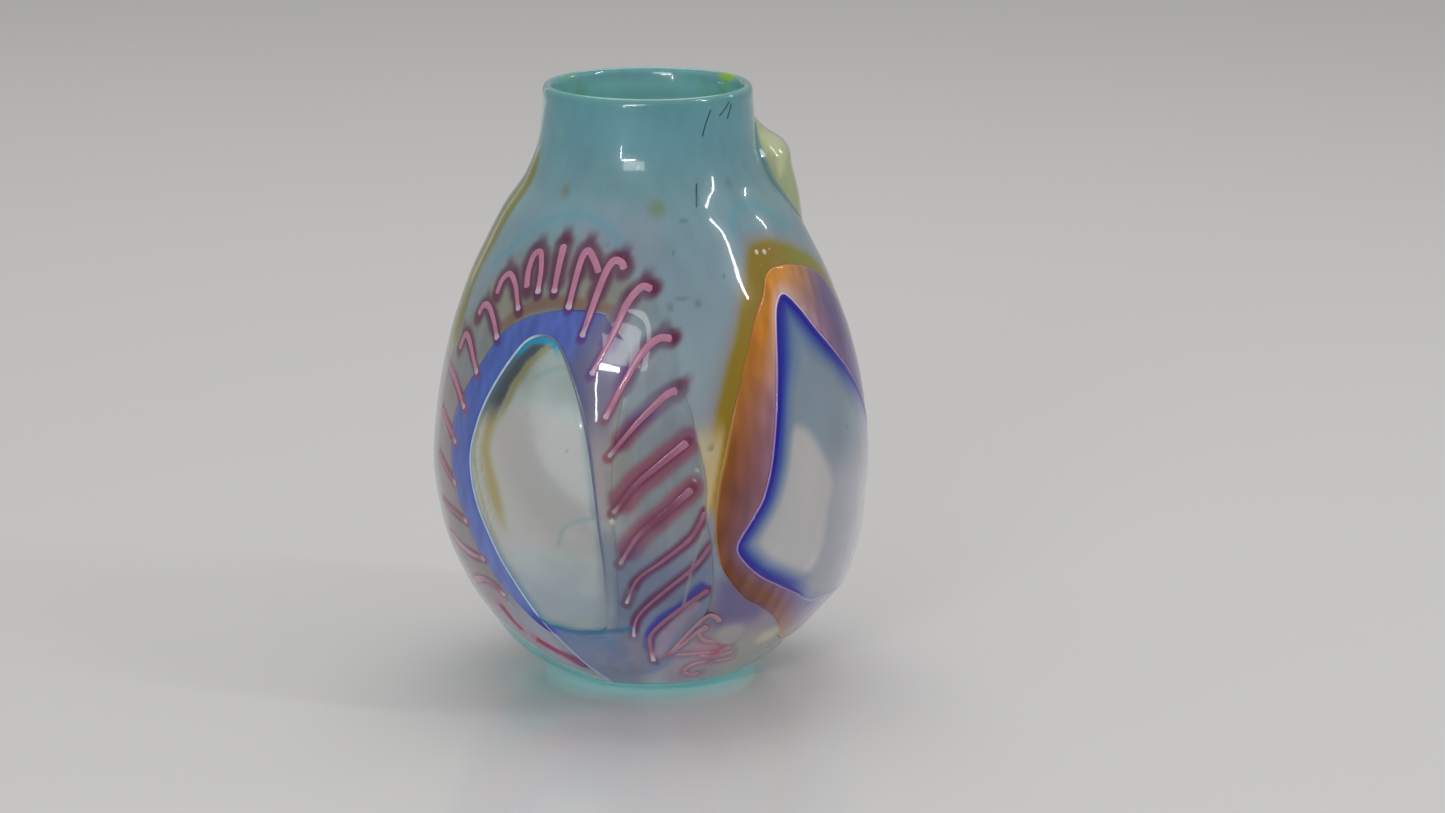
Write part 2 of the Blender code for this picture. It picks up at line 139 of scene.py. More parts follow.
# Fine lines, patches and marks in the glass, and among the specks a few painted glints. Lines
# that are read at a height have rising heights, and EDGE_LINE, the body's low edge as it shows
# round the left, has rising azimuths.
PALE_SWEEP = ((-21, 4.6), (-25, 9.5), (-29.2, 16.5), (-33.4, 25), (-36.6, 33))
BROWN_EDGE = ((-48, 140), (-42, 146), (-36, 149.5), (-28, 151.3), (-20, 151), (-12, 150))
PALE_PATCH = (
    (41, 106), (37, 92), (30.2, 70), (30.4, 62), (37, 54), (46, 48.5), (52, 57), (52.5, 74),
    (54, 84), (48, 100),
)
SPECKS_AND_GLINTS = (
    # azimuth, height, radius in mm, colour
    (-34.0, 112.0, 0.5, (0.10, 0.12, 0.12)), (-22.0, 101.0, 0.45, (0.12, 0.14, 0.13)),
    (-15.2, 171.5, 0.5, (0.08, 0.12, 0.12)), (9.2, 169.0, 0.45, (0.07, 0.12, 0.13)),
    (30.0, 172.0, 0.4, (0.30, 0.38, 0.40)), (-5.0, 196.0, 0.4, (0.30, 0.40, 0.40)),
    (64.0, 100.0, 0.5, (0.10, 0.13, 0.16)), (15.8, 102.8, 1.0, (0.17, 0.18, 0.13)),
    # Painted glints, not marks in the glass: the pale warm spots at (11.7, 95.5), (11.1, 92.0), (-9.8,
    # 77.2) and (-12.2, 76.6) are highlights.
    (11.7, 95.5, 0.55, (0.52, 0.40, 0.33)), (11.1, 92.0, 0.5, (0.50, 0.38, 0.32)),
    (-9.8, 77.2, 0.9, (0.62, 0.58, 0.46)), (-12.2, 76.6, 0.5, (0.60, 0.60, 0.52)),
    (2.0, 188.0, 0.35, (0.30, 0.40, 0.40)), (26.0, 160.0, 0.4, (0.09, 0.13, 0.14)),
    (160.0, 176.0, 0.6, (0.09, 0.14, 0.14)), (-140.0, 90.0, 0.6, (0.12, 0.15, 0.15)),
    (225.0, 150.0, 0.5, (0.30, 0.37, 0.38)), (130.0, 100.0, 0.5, (0.12, 0.15, 0.16)),
)
BLOTCHES = (
    # azimuth, height, half width in degrees, half height in mm, colour
    (4.0, 182.8, 4.5, 3.4, (0.13, 0.16, 0.07)),
    (-41.1, 186.5, 3.5, 3.2, (0.14, 0.13, 0.07)),
    (42.0, 189.4, 3.0, 2.4, (0.11, 0.16, 0.17)),
    (23.0, 186.3, 0.9, 4.0, (0.05, 0.09, 0.10)),
    (14.6, 178.5, 2.2, 1.0, (0.07, 0.12, 0.15)),
    (6.6, 150.8, 1.3, 2.2, (0.10, 0.12, 0.08)),
    (10.6, 153.8, 2.6, 0.8, (0.10, 0.13, 0.12)),
    (15.6, 151.8, 1.3, 1.6, (0.10, 0.12, 0.10)),
    (17.0, 101.5, 1.6, 1.5, (0.15, 0.16, 0.10)),
    (13.8, 109.4, 1.8, 1.6, (0.15, 0.19, 0.18)),
    (150.0, 150.0, 5.0, 4.0, (0.14, 0.17, 0.09)),
    (-120.0, 128.0, 4.0, 5.0, (0.13, 0.17, 0.15)),
    (250.0, 60.0, 5.0, 3.0, (0.16, 0.17, 0.12)),
)
AMBER_STRAND = ((-46, 108), (-47.4, 100), (-46.5, 93), (-44.5, 85), (-42.4, 76), (-40, 66))
APEX_CHORD = (
    (-44.7, 106.2), (-42, 114.2), (-39.5, 122.1), (-35.7, 130), (-32.3, 134.2), (-28.8, 137.8),
)
BOTTOM_LINE = ((-35.6, 31.8), (-32, 30.6), (-25, 30.2), (-17, 31.2), (-11, 32.4), (-6, 33.6))
EDGE_LINE = (
    (-110, 4), (-96, 12), (-80, 21), (-66, 24), (-50, 16), (-42.9, 10.4), (-31.1, 6.9),
    (-21.4, 3.6), (-12, 3.2),
)
BLUE_LINE = ((13.5, 52.5), (11.9, 50.3), (8.1, 44.2), (3.2, 39.2), (-0.3, 32.1), (-1.4, 25.8))
MAUVE_SPINDLE = ((12, 44), (8.2, 36.5), (4.6, 29.5), (3.2, 22))
FAINT_LINE = ((13.2, 74), (11.7, 66.2), (10.2, 56.6), (9, 44.2))
WINDOW_ARCS = (
    ((-32.9, 124.9), (-27.6, 128.7), (-22.8, 129.9)),
    ((-24.2, 66.6), (-22.8, 72.4), (-19.5, 75.9), (-15.5, 77.5)),
)
NECK_CORDS = (
    ((50, 217.2), (47.5, 215.5), (44.5, 213.8), (41.8, 212.6)),
    ((52, 216.5), (50, 213.5), (47.6, 211)),
    ((36.4, 215.5), (33.6, 212), (31.6, 209), (30.1, 206)),
    ((24, 190.5), (23, 187), (21.5, 182.5)),
)
TEAL_ARCS = (
    ((-66, 158), (-58, 165), (-50, 173), (-40, 178), (-27, 179.5), (-15, 176), (-8, 169)),
    ((33, 173), (38, 179), (46, 182), (56, 179), (67, 171)),
)
PALE_SEEDS = ((42.5, 166.0, 0.95), (46.2, 165.6, 1.05), (49.3, 166.2, 0.5), (42.4, 161.6, 0.4))

# ---------------------------------------------------------------- colours
HEIGHT_TINTS = (
    (0, (0.24, 0.26, 0.31)),
    (14, (0.20, 0.21, 0.24)),
    (40, (0.19, 0.21, 0.27)),
    (95, (0.205, 0.23, 0.26)),
    (135, (0.19, 0.245, 0.28)),
    (165, (0.165, 0.24, 0.285)),
    (190, (0.135, 0.24, 0.275)),
    (206, (0.125, 0.26, 0.31)),
    (215, (0.115, 0.25, 0.29)),
    (222, (0.11, 0.27, 0.26)),
)
OLIVE = (0.215, 0.15, 0.012)
OLIVE_EDGE = (0.135, 0.145, 0.004)
TEAL = (0.06, 0.25, 0.32)
CREAM = (0.43, 0.355, 0.215)
MAUVE = (0.22, 0.185, 0.22)
VIOLET = (0.115, 0.10, 0.20)
SMOKE = (0.185, 0.215, 0.235)
SMOKE_BEIGE = (0.27, 0.26, 0.235)
SMOKE_TOP = (0.17, 0.165, 0.14)
MAGENTA = (0.095, 0.016, 0.045)
ROSE = (0.205, 0.08, 0.115)
PURPLE = (0.125, 0.075, 0.165)
PINK = (0.36, 0.165, 0.25)
PINK_BULB = (0.42, 0.36, 0.46)
COBALT = (0.08, 0.12, 0.36)
DEEP_COBALT = (0.02, 0.022, 0.24)
WINDOW_TINT = (0.38, 0.43, 0.425)
RIGHT_WINDOW_TINT = (0.37, 0.36, 0.36)
BLUE_WINDOW_TINT = (0.185, 0.23, 0.275)
AMBER = (0.30, 0.235, 0.075)
LIME = (0.20, 0.36, 0.03)
SLATE = (0.05, 0.125, 0.21)
OVERLAY_CLEAR = 0.25
# How the stage's light changes a tint: the haze it adds, and what the glass loses of it
REFLECTED_HAZE = 0.03
TINT_GAIN = 1.51
CLEAR_LOSS = 0.8
UNDERSIDE_LOSS = 0.8
TINT_LIMITS = (0.004, 0.95)


def glass_tint(seen, clear, height):
    """The colour to give the glass so that it is seen as the one asked for, as it stands lit."""
    lit = TINT_GAIN / (1 - CLEAR_LOSS * np.asarray(clear, dtype=float))
    lit = lit * (1 + UNDERSIDE_LOSS * ramp(52, 10, height))
    return np.clip((np.asarray(seen) - REFLECTED_HAZE) * lit[..., None], *TINT_LIMITS)


def mix(first, second, share):
    """Blends colours by share, which has one number for each colour."""
    share = np.asarray(share)[..., None]
    return np.asarray(first) * (1 - share) + np.asarray(second) * share


def blend(first, second, share):
    """Blends numbers by share."""
    return first * (1 - share) + second * share


def coats(colour, *layers):
    """Lays (colour, share) layers over a colour, one after another."""
    for tint, share in layers:
        colour = mix(colour, tint, share)
    return colour


def read_colours(at, places, colours):
    """Reads colours that are given at rising places, at the places in at."""
    return np.stack([np.interp(at, places, [tint[k] for tint in colours]) for k in range(3)], -1)


def ramp(low, high, at):
    """A smooth step from 0 at low to 1 at high."""
    t = np.clip((np.asarray(at, dtype=float) - low) / (high - low), 0, 1)
    return t * t * (3 - 2 * t)


# ---------------------------------------------------------------- the wall's form
def turned(azimuth, centre):
    """How far an azimuth lies round from a centre, from -180 to 180 degrees."""
    return (azimuth - centre + 180) % 360 - 180


def monotone(x, y, at):
    """A monotone cubic through the knots, read at the places in at."""
    step = np.diff(x)
    slope = np.diff(y) / step
    tangent = np.concatenate(([slope[0]], np.zeros(len(x) - 2), [slope[-1]]))
    same_way = slope[:-1] * slope[1:] > 0
    before = slope[:-1][same_way]
    after = slope[1:][same_way]
    tangent[1:-1][same_way] = 2 * before * after / (before + after)
    i = np.clip(np.searchsorted(x, at) - 1, 0, len(x) - 2)
    t = (np.asarray(at) - x[i]) / step[i]
    rise = (3 - 2 * t) * t * t
    bulge = t * (1 - t) * (tangent[i] * (1 - t) - tangent[i + 1] * t)
    return y[i] * (1 - rise) + y[i + 1] * rise + step[i] * bulge


def node_points(node):
    """A CAD node's vertices, in mm, as radius and height."""
    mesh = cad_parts[node].data
    flat = np.empty(len(mesh.vertices) * 3)
    mesh.vertices.foreach_get("co", flat)
    points = flat.reshape(-1, 3) / MM
    return np.hypot(points[:, 0], points[:, 1]), points[:, 2]


FEWEST_IN_A_ROW = 12
SAME_RADIUS = 0.02  # mm


def skin_rows():
    """Heights and outer radii of the rows of the CAD foot and skin."""
    rows = {}
    for node in ("foot_pad", "blue_overlay"):
        radius, height = node_points(node)
        levels = np.round(height, 2)
        for level in np.unique(levels):
            here = radius[levels == level]
            if np.sum(here > here.max() - SAME_RADIUS) >= FEWEST_IN_A_ROW:
                rows[float(level)] = float(here.max())
    heights = np.array(sorted(rows))
    return heights, np.array([rows[level] for level in heights])


SKIN_HEIGHTS, SKIN_RADII = skin_rows()
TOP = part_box("lip_wrap")[1][2] / MM
FOOT_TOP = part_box("foot_pad")[1][2] / MM


def radius_at(height):
    """The turned form's outer radius in mm."""
    return monotone(SKIN_HEIGHTS, SKIN_RADII, np.clip(height, 0, SKIN_HEIGHTS[-1]))


def lean(height):
    """How far the axis has wandered towards -X at a height, in mm."""
    return -1.1 * ramp(60, 195, height)


# Height, and how far the wall swells there past the turned form, in mm
RIGHT_BULGE = (
    (4, 0), (5, 0.2), (8, 2.0), (11, 2.2), (14.5, 0.8), (19, 3.0), (28, 3.6), (37, 4.9), (47, 3.4),
    (57, 1.9), (70, 0.4), (82, 0),
)
LEFT_BULGE = ((4, 0), (5, 0.3), (9, 2.4), (13, 2.8), (18, 2.1), (26, 1.0), (40, 0.3), (52, 0))


def wobble(azimuth, height):
    """The free-hand unevenness of the wall, in mm."""
    turn = np.radians(azimuth)
    broad = 0.30 * np.sin(2 * turn + 0.9 + height / 60) + 0.18 * np.sin(3 * turn - height / 38)
    fine = 0.012 * np.sin(11 * turn + height / 8) + 0.010 * np.sin(16 * turn - height / 5.5)
    total = (broad + fine) * ramp(4, 40, height)
    for centre, reach, profile in ((84, 28, RIGHT_BULGE), (-85, 40, LEFT_BULGE)):
        levels, swell = np.array(profile).T
        share = np.exp(-((turned(azimuth, centre) / reach) ** 2))
        total = total + share * monotone(levels, swell, np.clip(height, levels[0], levels[-1]))
    return total


def ribbon_relief(azimuth, height):
    """How far the right-hand leg of the ribbon stands off the wall, up to 1 mm."""
    leg = ramp(-5, 11, azimuth) * ramp(20, 16, azimuth)
    return leg * ramp(124, 113, height) * ramp(30, 44, height)


def place(azimuth, height, lift=0.0):
    """Points in metres that stand lift mm off the outer surface at azimuths and heights."""
    azimuth = np.asarray(azimuth, dtype=float)
    height = np.asarray(height, dtype=float)
    probe = 0.25
    slope = (radius_at(height + probe) - radius_at(height - probe)) / (2 * probe)
    norm = np.sqrt(1 + slope * slope)
    radial = radius_at(height) + wobble(azimuth, height) + lift / norm
    turn = np.radians(azimuth)
    x = radial * np.sin(turn) + lean(height)
    z = height - lift * slope / norm
    return np.stack((x, -radial * np.cos(turn), z), axis=-1) * MM


# ---------------------------------------------------------------- curves and distances
TINY = 1e-12


def flatten(azimuth, height, centre):
    """Lays the wall out flat, in mm, round a centre azimuth."""
    return np.radians(azimuth - centre) * radius_at(height), np.asarray(height, dtype=float)


def curve_through(points, closed, per_span=8):
    """A Catmull-Rom curve through the points."""
    points = np.array(points, dtype=float)
    count = len(points)
    if closed:
        padded = np.vstack((points[-1], points, points[:2]))
    else:
        padded = np.vstack((2 * points[0] - points[1], points, 2 * points[-1] - points[-2]))
        count -= 1
    out = []
    for i in range(count):
        a, b, c, d = padded[i : i + 4]
        for t in np.arange(per_span) / per_span:
            out.append(0.5 * (2 * b + (c - a) * t + (2 * a - 5 * b + 4 * c - d) * t**2)
                       + 0.5 * (3 * b - a - 3 * c + d) * t**3)
    if not closed:
        out.append(points[-1])
    return np.array(out)


def even_curve(points, closed, count):
    """The curve through the points, as count places evenly spaced over the wall."""
    curve = curve_through(points, closed)
    if closed:
        curve = np.vstack((curve, curve[:1]))
    step = np.diff(curve, axis=0)
    middle = (curve[:-1, 1] + curve[1:, 1]) / 2
    length = np.hypot(np.radians(step[:, 0]) * radius_at(middle), step[:, 1])
    total = np.concatenate(([0], np.cumsum(length)))
    at = np.linspace(0, total[-1], count, endpoint=not closed)
    return np.column_stack([np.interp(at, total, curve[:, k]) for k in (0, 1)]), total[-1]


def line_distance(azimuth, height, path, centre):
    """Distance in mm from each place to the nearest point of an open path."""
    px, py = flatten(azimuth, height, centre)
    lx, ly = flatten(path[:, 0], path[:, 1], centre)
    best = np.full(np.shape(px), np.inf)
    for i in range(len(lx) - 1):
        dx = lx[i + 1] - lx[i]
        dy = ly[i + 1] - ly[i]
        t = ((px - lx[i]) * dx + (py - ly[i]) * dy) / (dx * dx + dy * dy + TINY)
        t = np.clip(t, 0, 1)
        best = np.minimum(best, np.hypot(px - lx[i] - t * dx, py - ly[i] - t * dy))
    return best


def near_path(azimuth, height, points, centre):
    """Distance in mm from each place to the open curve through the points."""
    return line_distance(azimuth, height, curve_through(points, False, 4), centre)


def inside_distance(azimuth, height, outline, centre):
    """Signed distance in mm to a closed outline, positive inside it."""
    curve = curve_through(outline, True, 4)
    ring = np.vstack((curve, curve[:1]))
    away = line_distance(azimuth, height, ring, centre)
    px, py = flatten(azimuth, height, centre)
    lx, ly = flatten(ring[:, 0], ring[:, 1], centre)
    inside = np.zeros(np.shape(px), dtype=bool)
    for i in range(len(lx) - 1):
        spans = (ly[i] > py) != (ly[i + 1] > py)
        across = lx[i] + (py - ly[i]) * (lx[i + 1] - lx[i]) / (ly[i + 1] - ly[i] + TINY)
        inside ^= spans & (px < across)
    return np.where(inside, away, -away)


def grown(curve, margin):
    """A closed curve moved outwards over the wall by margin mm."""
    centre = curve[:, 0].mean()
    flat = np.column_stack(flatten(curve[:, 0], curve[:, 1], centre))
    along = np.roll(flat, -1, axis=0) - np.roll(flat, 1, axis=0)
    along /= np.linalg.norm(along, axis=1)[:, None] + TINY
    out = np.column_stack((along[:, 1], -along[:, 0]))
    nxt = np.roll(flat, -1, axis=0)
    if np.sum(flat[:, 0] * nxt[:, 1] - nxt[:, 0] * flat[:, 1]) < 0:
        out = -out
    radius = radius_at(curve[:, 1])
    moved = curve[:, 1] + out[:, 1] * margin
    return np.column_stack((curve[:, 0] + np.degrees(out[:, 0] * margin / radius), moved))


NOISE_WAVES = 7
NOISE_SPREAD = 4.2
NOISE_ROUND = 420.0
NOISE_TURN = 6.28


def soft_noise(azimuth, height, scale, seed):
    """Smooth noise, mostly from -1 to 1, with features of about scale mm, from seeded waves."""
    random = np.random.default_rng(seed)
    turn = np.radians(azimuth)
    total = np.zeros(np.shape(turn))
    for _ in range(NOISE_WAVES):
        waves = random.integers(1, max(2, int(NOISE_ROUND / scale)))
        pitch = random.uniform(-1, 1) * NOISE_TURN / scale
        total += np.sin(waves * turn + pitch * height + random.uniform(0, NOISE_TURN))
    return total / NOISE_SPREAD


# ---------------------------------------------------------------- painting
FLAME_LENGTH = 8.0
LOWEST_FLAME = 118.0
HAZED_SHARE = 0.88
LEFT_CENTRE = -35


def halo_paths():
    """Each thread's haze: its reach in mm, its path, the hazed part of it, and its flame's line."""
    paths = []
    for (reach, _, _), *points in THREADS:
        points = np.array(points, dtype=float)
        top = points[np.argmax(points[:, 1])]
        away = (top - points[-1]) / np.hypot(*(top - points[-1]))
        flame = np.array([top, top + away * FLAME_LENGTH]) if top[1] > LOWEST_FLAME else None
        path = curve_through(points, False, 4)
        paths.append((reach, path, path[: int(len(path) * HAZED_SHARE)], flame))
    return paths


HALO_PATHS = halo_paths()


def thread_haze(azimuth, height):
    """Nearness to the threads: the dark line beside them and the softer haze beyond it."""
    tight = np.zeros(np.shape(azimuth))
    soft = np.zeros(np.shape(azimuth))
    streak = soft_noise(azimuth, height, 14, 8)
    for reach, path, main, flame in HALO_PATHS:
        near = line_distance(azimuth, height, path, LEFT_CENTRE) + 0.25 * streak
        tight = np.maximum(tight, ramp(2.7, 1.4, near))
        near = line_distance(azimuth, height, main, LEFT_CENTRE) + 0.4 * streak
        soft = np.maximum(soft, ramp(reach + 0.9, 0.55 * reach, near))
        if flame is not None:
            beside = line_distance(azimuth, height, flame, LEFT_CENTRE)
            along = line_distance(azimuth, height, flame[[0, 0]], LEFT_CENTRE)
            rising = ramp(3.2, 0.9, beside + 0.4 * streak) * ramp(8.5, 2.2, along)
            soft = np.maximum(soft, rising)
    return tight, soft


def paint_ribbon(azimuth, height, under, tight, soft):
    """The smoky cane ribbon with the magenta and rose haze of its threads."""
    top = np.maximum(ramp(116, 140, height) * ramp(-4, -20, azimuth), ramp(146, 156, height))
    cloud = soft_noise(azimuth, height, 30, 5)
    beige = ramp(-1, -11, azimuth) * ramp(60, 85, height) * ramp(-45, -30, azimuth)
    corner = ramp(50, 36, height) * ramp(-30, -38, azimuth)
    brown = near_path(azimuth, height, BROWN_EDGE, -33)
    cool = np.maximum(ramp(74, 60, height), ramp(104, 116, height)) * ramp(-45, -30, azimuth)
    cool = np.maximum(cool, 0.4 * ramp(0, 0.8, cloud))
    haze = coats(ROSE, (PURPLE, cool), ((0.31, 0.18, 0.235), corner), (MAGENTA, top))
    return coats(
        SMOKE,
        (SMOKE_BEIGE, beige * ramp(122, 108, height)),
        (under, 0.25),
        ((0.145, 0.175, 0.25), ramp(74, 56, height) * ramp(-14, -8, azimuth)),
        ((0.235, 0.245, 0.30), 0.9 * corner),
        (SMOKE_TOP, 0.75 * top),
        ((0.23, 0.21, 0.10), 0.7 * top * ramp(-0.3, 0.9, cloud)),
        ((0.17, 0.075, 0.035), 0.8 * ramp(3.4, 0.8, brown)),
        ((0.24, 0.17, 0.18), 0.6 * ramp(-40, -60, azimuth) * (1 - top)),
        (haze, 0.92 * soft),
        (MAGENTA, tight * blend(0.5, 1.0, top) * (1 - 0.6 * corner)),
    )


def paint_window(azimuth, height, depth):
    """The left window: pale, with amber and olive drawn along its left edge and apex."""
    cloud = soft_noise(azimuth, height, 26, 11)
    fine = soft_noise(azimuth, height, 9, 12)
    mottle = 1 + 0.08 * cloud + 0.04 * soft_noise(azimuth, height, 6, 16)
    edge = ramp(-36, -42, azimuth - 0.1 * (height - 100)) * ramp(50, 66, height)
    combed = np.sin(1.7 * depth + 2.2 * soft_noise(azimuth, height, 40, 15) + height / 30)
    combed = ramp(-0.5, 1.0, combed + 0.35 * fine)
    strand = near_path(azimuth, height, AMBER_STRAND, -40) + 0.9 * fine
    drawn = 0.85 * ramp(5.5, 0.4, strand) * ramp(60, 78, height)
    chord = np.interp(height, *np.array(APEX_CHORD).T[::-1])
    beyond = np.radians(azimuth - chord) * radius_at(height) + 0.3 * fine
    apex = ramp(103, 116, height)
    shadow = mix((0.045, 0.06, 0.075), (0.08, 0.13, 0.19), ramp(4.0, 0.5, depth))
    colour = coats(
        np.multiply.outer(mottle, WINDOW_TINT),
        ((0.26, 0.30, 0.34), ramp(70, 38, height)),
        ((0.22, 0.25, 0.28), 0.8 * ramp(4.5, 0.5, depth) * ramp(-28, -19, azimuth)),
        ((0.085, 0.19, 0.29),
         0.85 * ramp(5.0, 0.3, depth) * ramp(88, 48, height) * ramp(-22, -31, azimuth)),
        (AMBER, np.maximum(drawn, 0.7 * combed * ramp(10.5, 5.5, depth) * edge)),
        ((0.20, 0.24, 0.25), 0.6 * ramp(3.0, 0.5, depth) * edge),
        ((0.21, 0.26, 0.25), 0.8 * ramp(110, 126, height)),
        ((0.20, 0.175, 0.055), 0.8 * apex * np.exp(-(((beyond - 1.0) / 1.9) ** 2))),
        (shadow, 0.9 * apex * ramp(0.2, -1.6, beyond)),
        ((0.01, 0.23, 0.38),
         ramp(2.7, 1.8, depth) * ramp(130, 133, height) * ramp(-25, -28, azimuth)),
    )
    for path in WINDOW_ARCS:
        arc = near_path(azimuth, height, path, -30)
        colour = mix(colour, (0.17, 0.25, 0.27), 0.5 * ramp(1.5, 0.3, arc))
    return colour


def paint_right_window(azimuth, height, depth):
    """The right window: cobalt at its edge, fading by a blue-grey margin to a pale patch."""
    cloud = soft_noise(azimuth, height, 30, 14)
    patch = inside_distance(azimuth, height, PALE_PATCH, 45)
    base = coats(
        np.multiply.outer(1 + 0.07 * cloud, BLUE_WINDOW_TINT),
        ((0.27, 0.275, 0.32), ramp(100, 78, height)),
        (RIGHT_WINDOW_TINT, ramp(-2.5, 3.0, patch + 0.6 * cloud)),
        # Painted rim light: a pale lilac glow towards the right side of the vase, low down.
        ((0.45, 0.44, 0.51), 0.8 * ramp(66, 80, azimuth) * ramp(92, 70, height)),
        ((0.12, 0.13, 0.24), 0.7 * ramp(76, 88, azimuth) * ramp(84, 92, height)),
    )
    widened = np.maximum(ramp(112, 132, height), ramp(56, 70, azimuth) * ramp(80, 95, height))
    depth = depth * (1 - 0.35 * widened)
    steps = (0, 1.6, 3.2, 5.0, 8.5)
    edge = (DEEP_COBALT, (0.028, 0.04, 0.26), (0.055, 0.085, 0.28), (0.10, 0.155, 0.29))
    share = np.interp(depth, steps, (0, 0, 0.03, 0.2, 1))
    far = ramp(42, 56, azimuth) * ramp(64, 52, height)
    share = np.maximum(share, far * np.interp(depth, steps, (0.75, 0.8, 0.9, 1, 1)))
    return mix(read_colours(depth, steps[:4], edge), base, share)


def paint_overlay(azimuth, height, cloud):
    """The overlay, clouded like milk: its tints up the height, its mottle and the marks in it,
    with a painted reflection down the left of the neck and painted rim light down the left of the body.
    """
    mottle = soft_noise(azimuth, height, 11, 51) + 0.4 * soft_noise(azimuth * 3, height / 4, 12, 52)
    mottle = (1 + 0.07 * cloud) * (1 + 0.035 * mottle * ramp(140, 165, height))
    green = ramp(0.2, 1.2, soft_noise(azimuth, height, 22, 53)) * ramp(150, 175, height)
    patches = ramp(0.1, 1.0, soft_noise(azimuth, height, 60, 2)) * ramp(195, 170, height)
    colour = coats(
        read_colours(height, *zip(*HEIGHT_TINTS)) * mottle[..., None],
        ((0.15, 0.27, 0.25), 0.35 * green),
        ((0.20, 0.215, 0.26), 0.5 * patches),
    )
    for path in TEAL_ARCS:
        arc = near_path(azimuth, height, path, path[2][0])
        colour = mix(colour, TEAL, 0.35 * ramp(2.6, 0.3, arc))
    drip = np.abs(azimuth + 79 + 2.5 * np.sin(height / 11))
    drip = drip / np.interp(height, (118, 132, 165, 190, 207), (1, 6, 9, 7, 1))
    olive = ramp(1.25, 0.7, drip) * ramp(116, 128, height) * ramp(201, 191, height)
    colour = mix(colour, OLIVE_EDGE, olive)
    for at, level, across, up, tint in BLOTCHES:
        mark = np.hypot((azimuth - at) / across, (height - level) / up)
        colour = mix(colour, tint, 0.55 * ramp(1.3, 0.2, mark + 0.25 * cloud))
    for at, strength in ((237, 0.15), (124, 0.9)):
        mark = np.hypot((azimuth - at) / 9, (height - 219) / 1.8)
        colour = mix(colour, LIME, strength * ramp(1.3, 0.5, mark))

    # Painted reflection: a pale mint streak down the left of the neck, widest at the lip.
    neck_limb_reflection = azimuth - np.interp(height, (185, 218), (-93, -85))
    neck_limb_reflection = np.abs(neck_limb_reflection / np.interp(height, (186, 200, 218), (1, 9, 16)))
    # Painted rim light: a thin pale mint line down the left of the body, from about 46 to 138 mm up.
    limb = azimuth + 91 + 3 * np.sin(height / 13)
    limb = np.abs(limb / np.interp(height, (50, 92, 136), (1, 5, 1)))
    low = ramp(56, 40, height) * ramp(4, 10, azimuth) * ramp(125, 100, azimuth)
    violet = ramp(13, 5, np.abs(azimuth - 27)) * ramp(60, 50, height) * ramp(28, 38, height)
    bulb = np.hypot((azimuth - 21.5) / 7.0, (height - 22.5) / 6.0)
    return coats(
        colour,
        # painted reflection down the left of the neck
        ((0.50, 0.64, 0.60),
         0.9 * ramp(1.1, 0.3, neck_limb_reflection) * ramp(184, 194, height) * ramp(219.5, 214, height)),
        # painted rim light down the left of the body
        ((0.37, 0.53, 0.45),
         0.65 * ramp(1.2, 0.2, limb) * ramp(46, 60, height) * ramp(138, 124, height)),
        (MAUVE, 0.8 * low),
        (VIOLET, 0.95 * violet),
        ((0.225, 0.23, 0.21),
         0.9 * ramp(26, 35, azimuth) * ramp(75, 60, azimuth) * ramp(31, 24, height)),
        ((0.31, 0.185, 0.225), 0.85 * ramp(1.15, 0.6, bulb)),
    )


def paint_right_surround(colour, azimuth, height):
    """The olive halo round the right petal, the cream gap beside it and what is under it."""
    halo = inside_distance(azimuth, height, RIGHT_HALO, 50)
    petal = inside_distance(azimuth, height, RIGHT_PETAL, 60)
    olive = ramp(-2.0, 1.6, halo + 0.6 * soft_noise(azimuth, height, 12, 3))
    gold = coats(
        OLIVE,
        ((0.33, 0.20, 0.04), ramp(112, 92, height)),
        ((0.19, 0.185, 0.01), ramp(50, 64, azimuth) * ramp(148, 158, height)),
    )
    levels = (74, 82, 91, 100, 108)
    left = azimuth - np.interp(height, levels, (13.2, 13.0, 13.6, 13.0, 11.7))
    right = azimuth - np.interp(height, levels, (13.8, 14.8, 16.3, 18.0, 19.6))
    gap = ramp(-0.8, 0.4, left) * ramp(0.7, -0.5, right) * ramp(73, 80, height)
    under = mix((0.20, 0.09, 0.09), (0.30, 0.29, 0.38), ramp(44, 54, azimuth) * ramp(68, 58, height))
    return coats(
        colour,
        ((0.22, 0.20, 0.18), 0.6 * ramp(-5, -1, halo) * ramp(90, 110, height)),
        (gold, olive * ramp(74, 84, height)),
        (CREAM, 0.85 * gap * ramp(116, 100, height)),
        (under, ramp(-0.3, 0.3, petal)),
    )


def paint_left_surround(colour, azimuth, height):
    """The cane ribbon with its threads' haze, and the lines and curls low on the front."""
    tight, soft = thread_haze(azimuth, height)
    ribbon = inside_distance(azimuth, height, LEFT_RIBBON, LEFT_CENTRE)
    arch = ramp(112, 128, height)
    inside = ramp(-1, 1, ribbon / (0.6 + 0.4 * arch)) * (1 - arch)
    inside = np.maximum(inside, 0.8 * arch * ramp(-1, 7, ribbon))
    beyond = (1 - inside) * ramp(-9, -1, ribbon) * arch
    spindle = near_path(azimuth, height, MAUVE_SPINDLE, 5)
    deep = near_path(azimuth, height, BLUE_LINE, 5)
    faint = near_path(azimuth, height, FAINT_LINE, 10)
    curls = [near_path(azimuth, height, path, 20) for path in CURLS + EXTRA_CURLS]
    return coats(
        colour,
        (paint_ribbon(azimuth, height, colour, tight, soft), inside),
        (MAGENTA, np.maximum(0.9 * soft, tight) * beyond),
        ((0.235, 0.19, 0.25), 0.8 * ramp(3.4, 1.4, spindle)),
        ((0.045, 0.05, 0.25), 0.9 * ramp(2.8, 0.5, deep)),
        ((0.26, 0.26, 0.30), 0.6 * ramp(0.7, 0.2, faint)),
        ((0.15, 0.075, 0.115), 0.45 * ramp(2.8, 1.3, np.min(curls, axis=0))),
    )


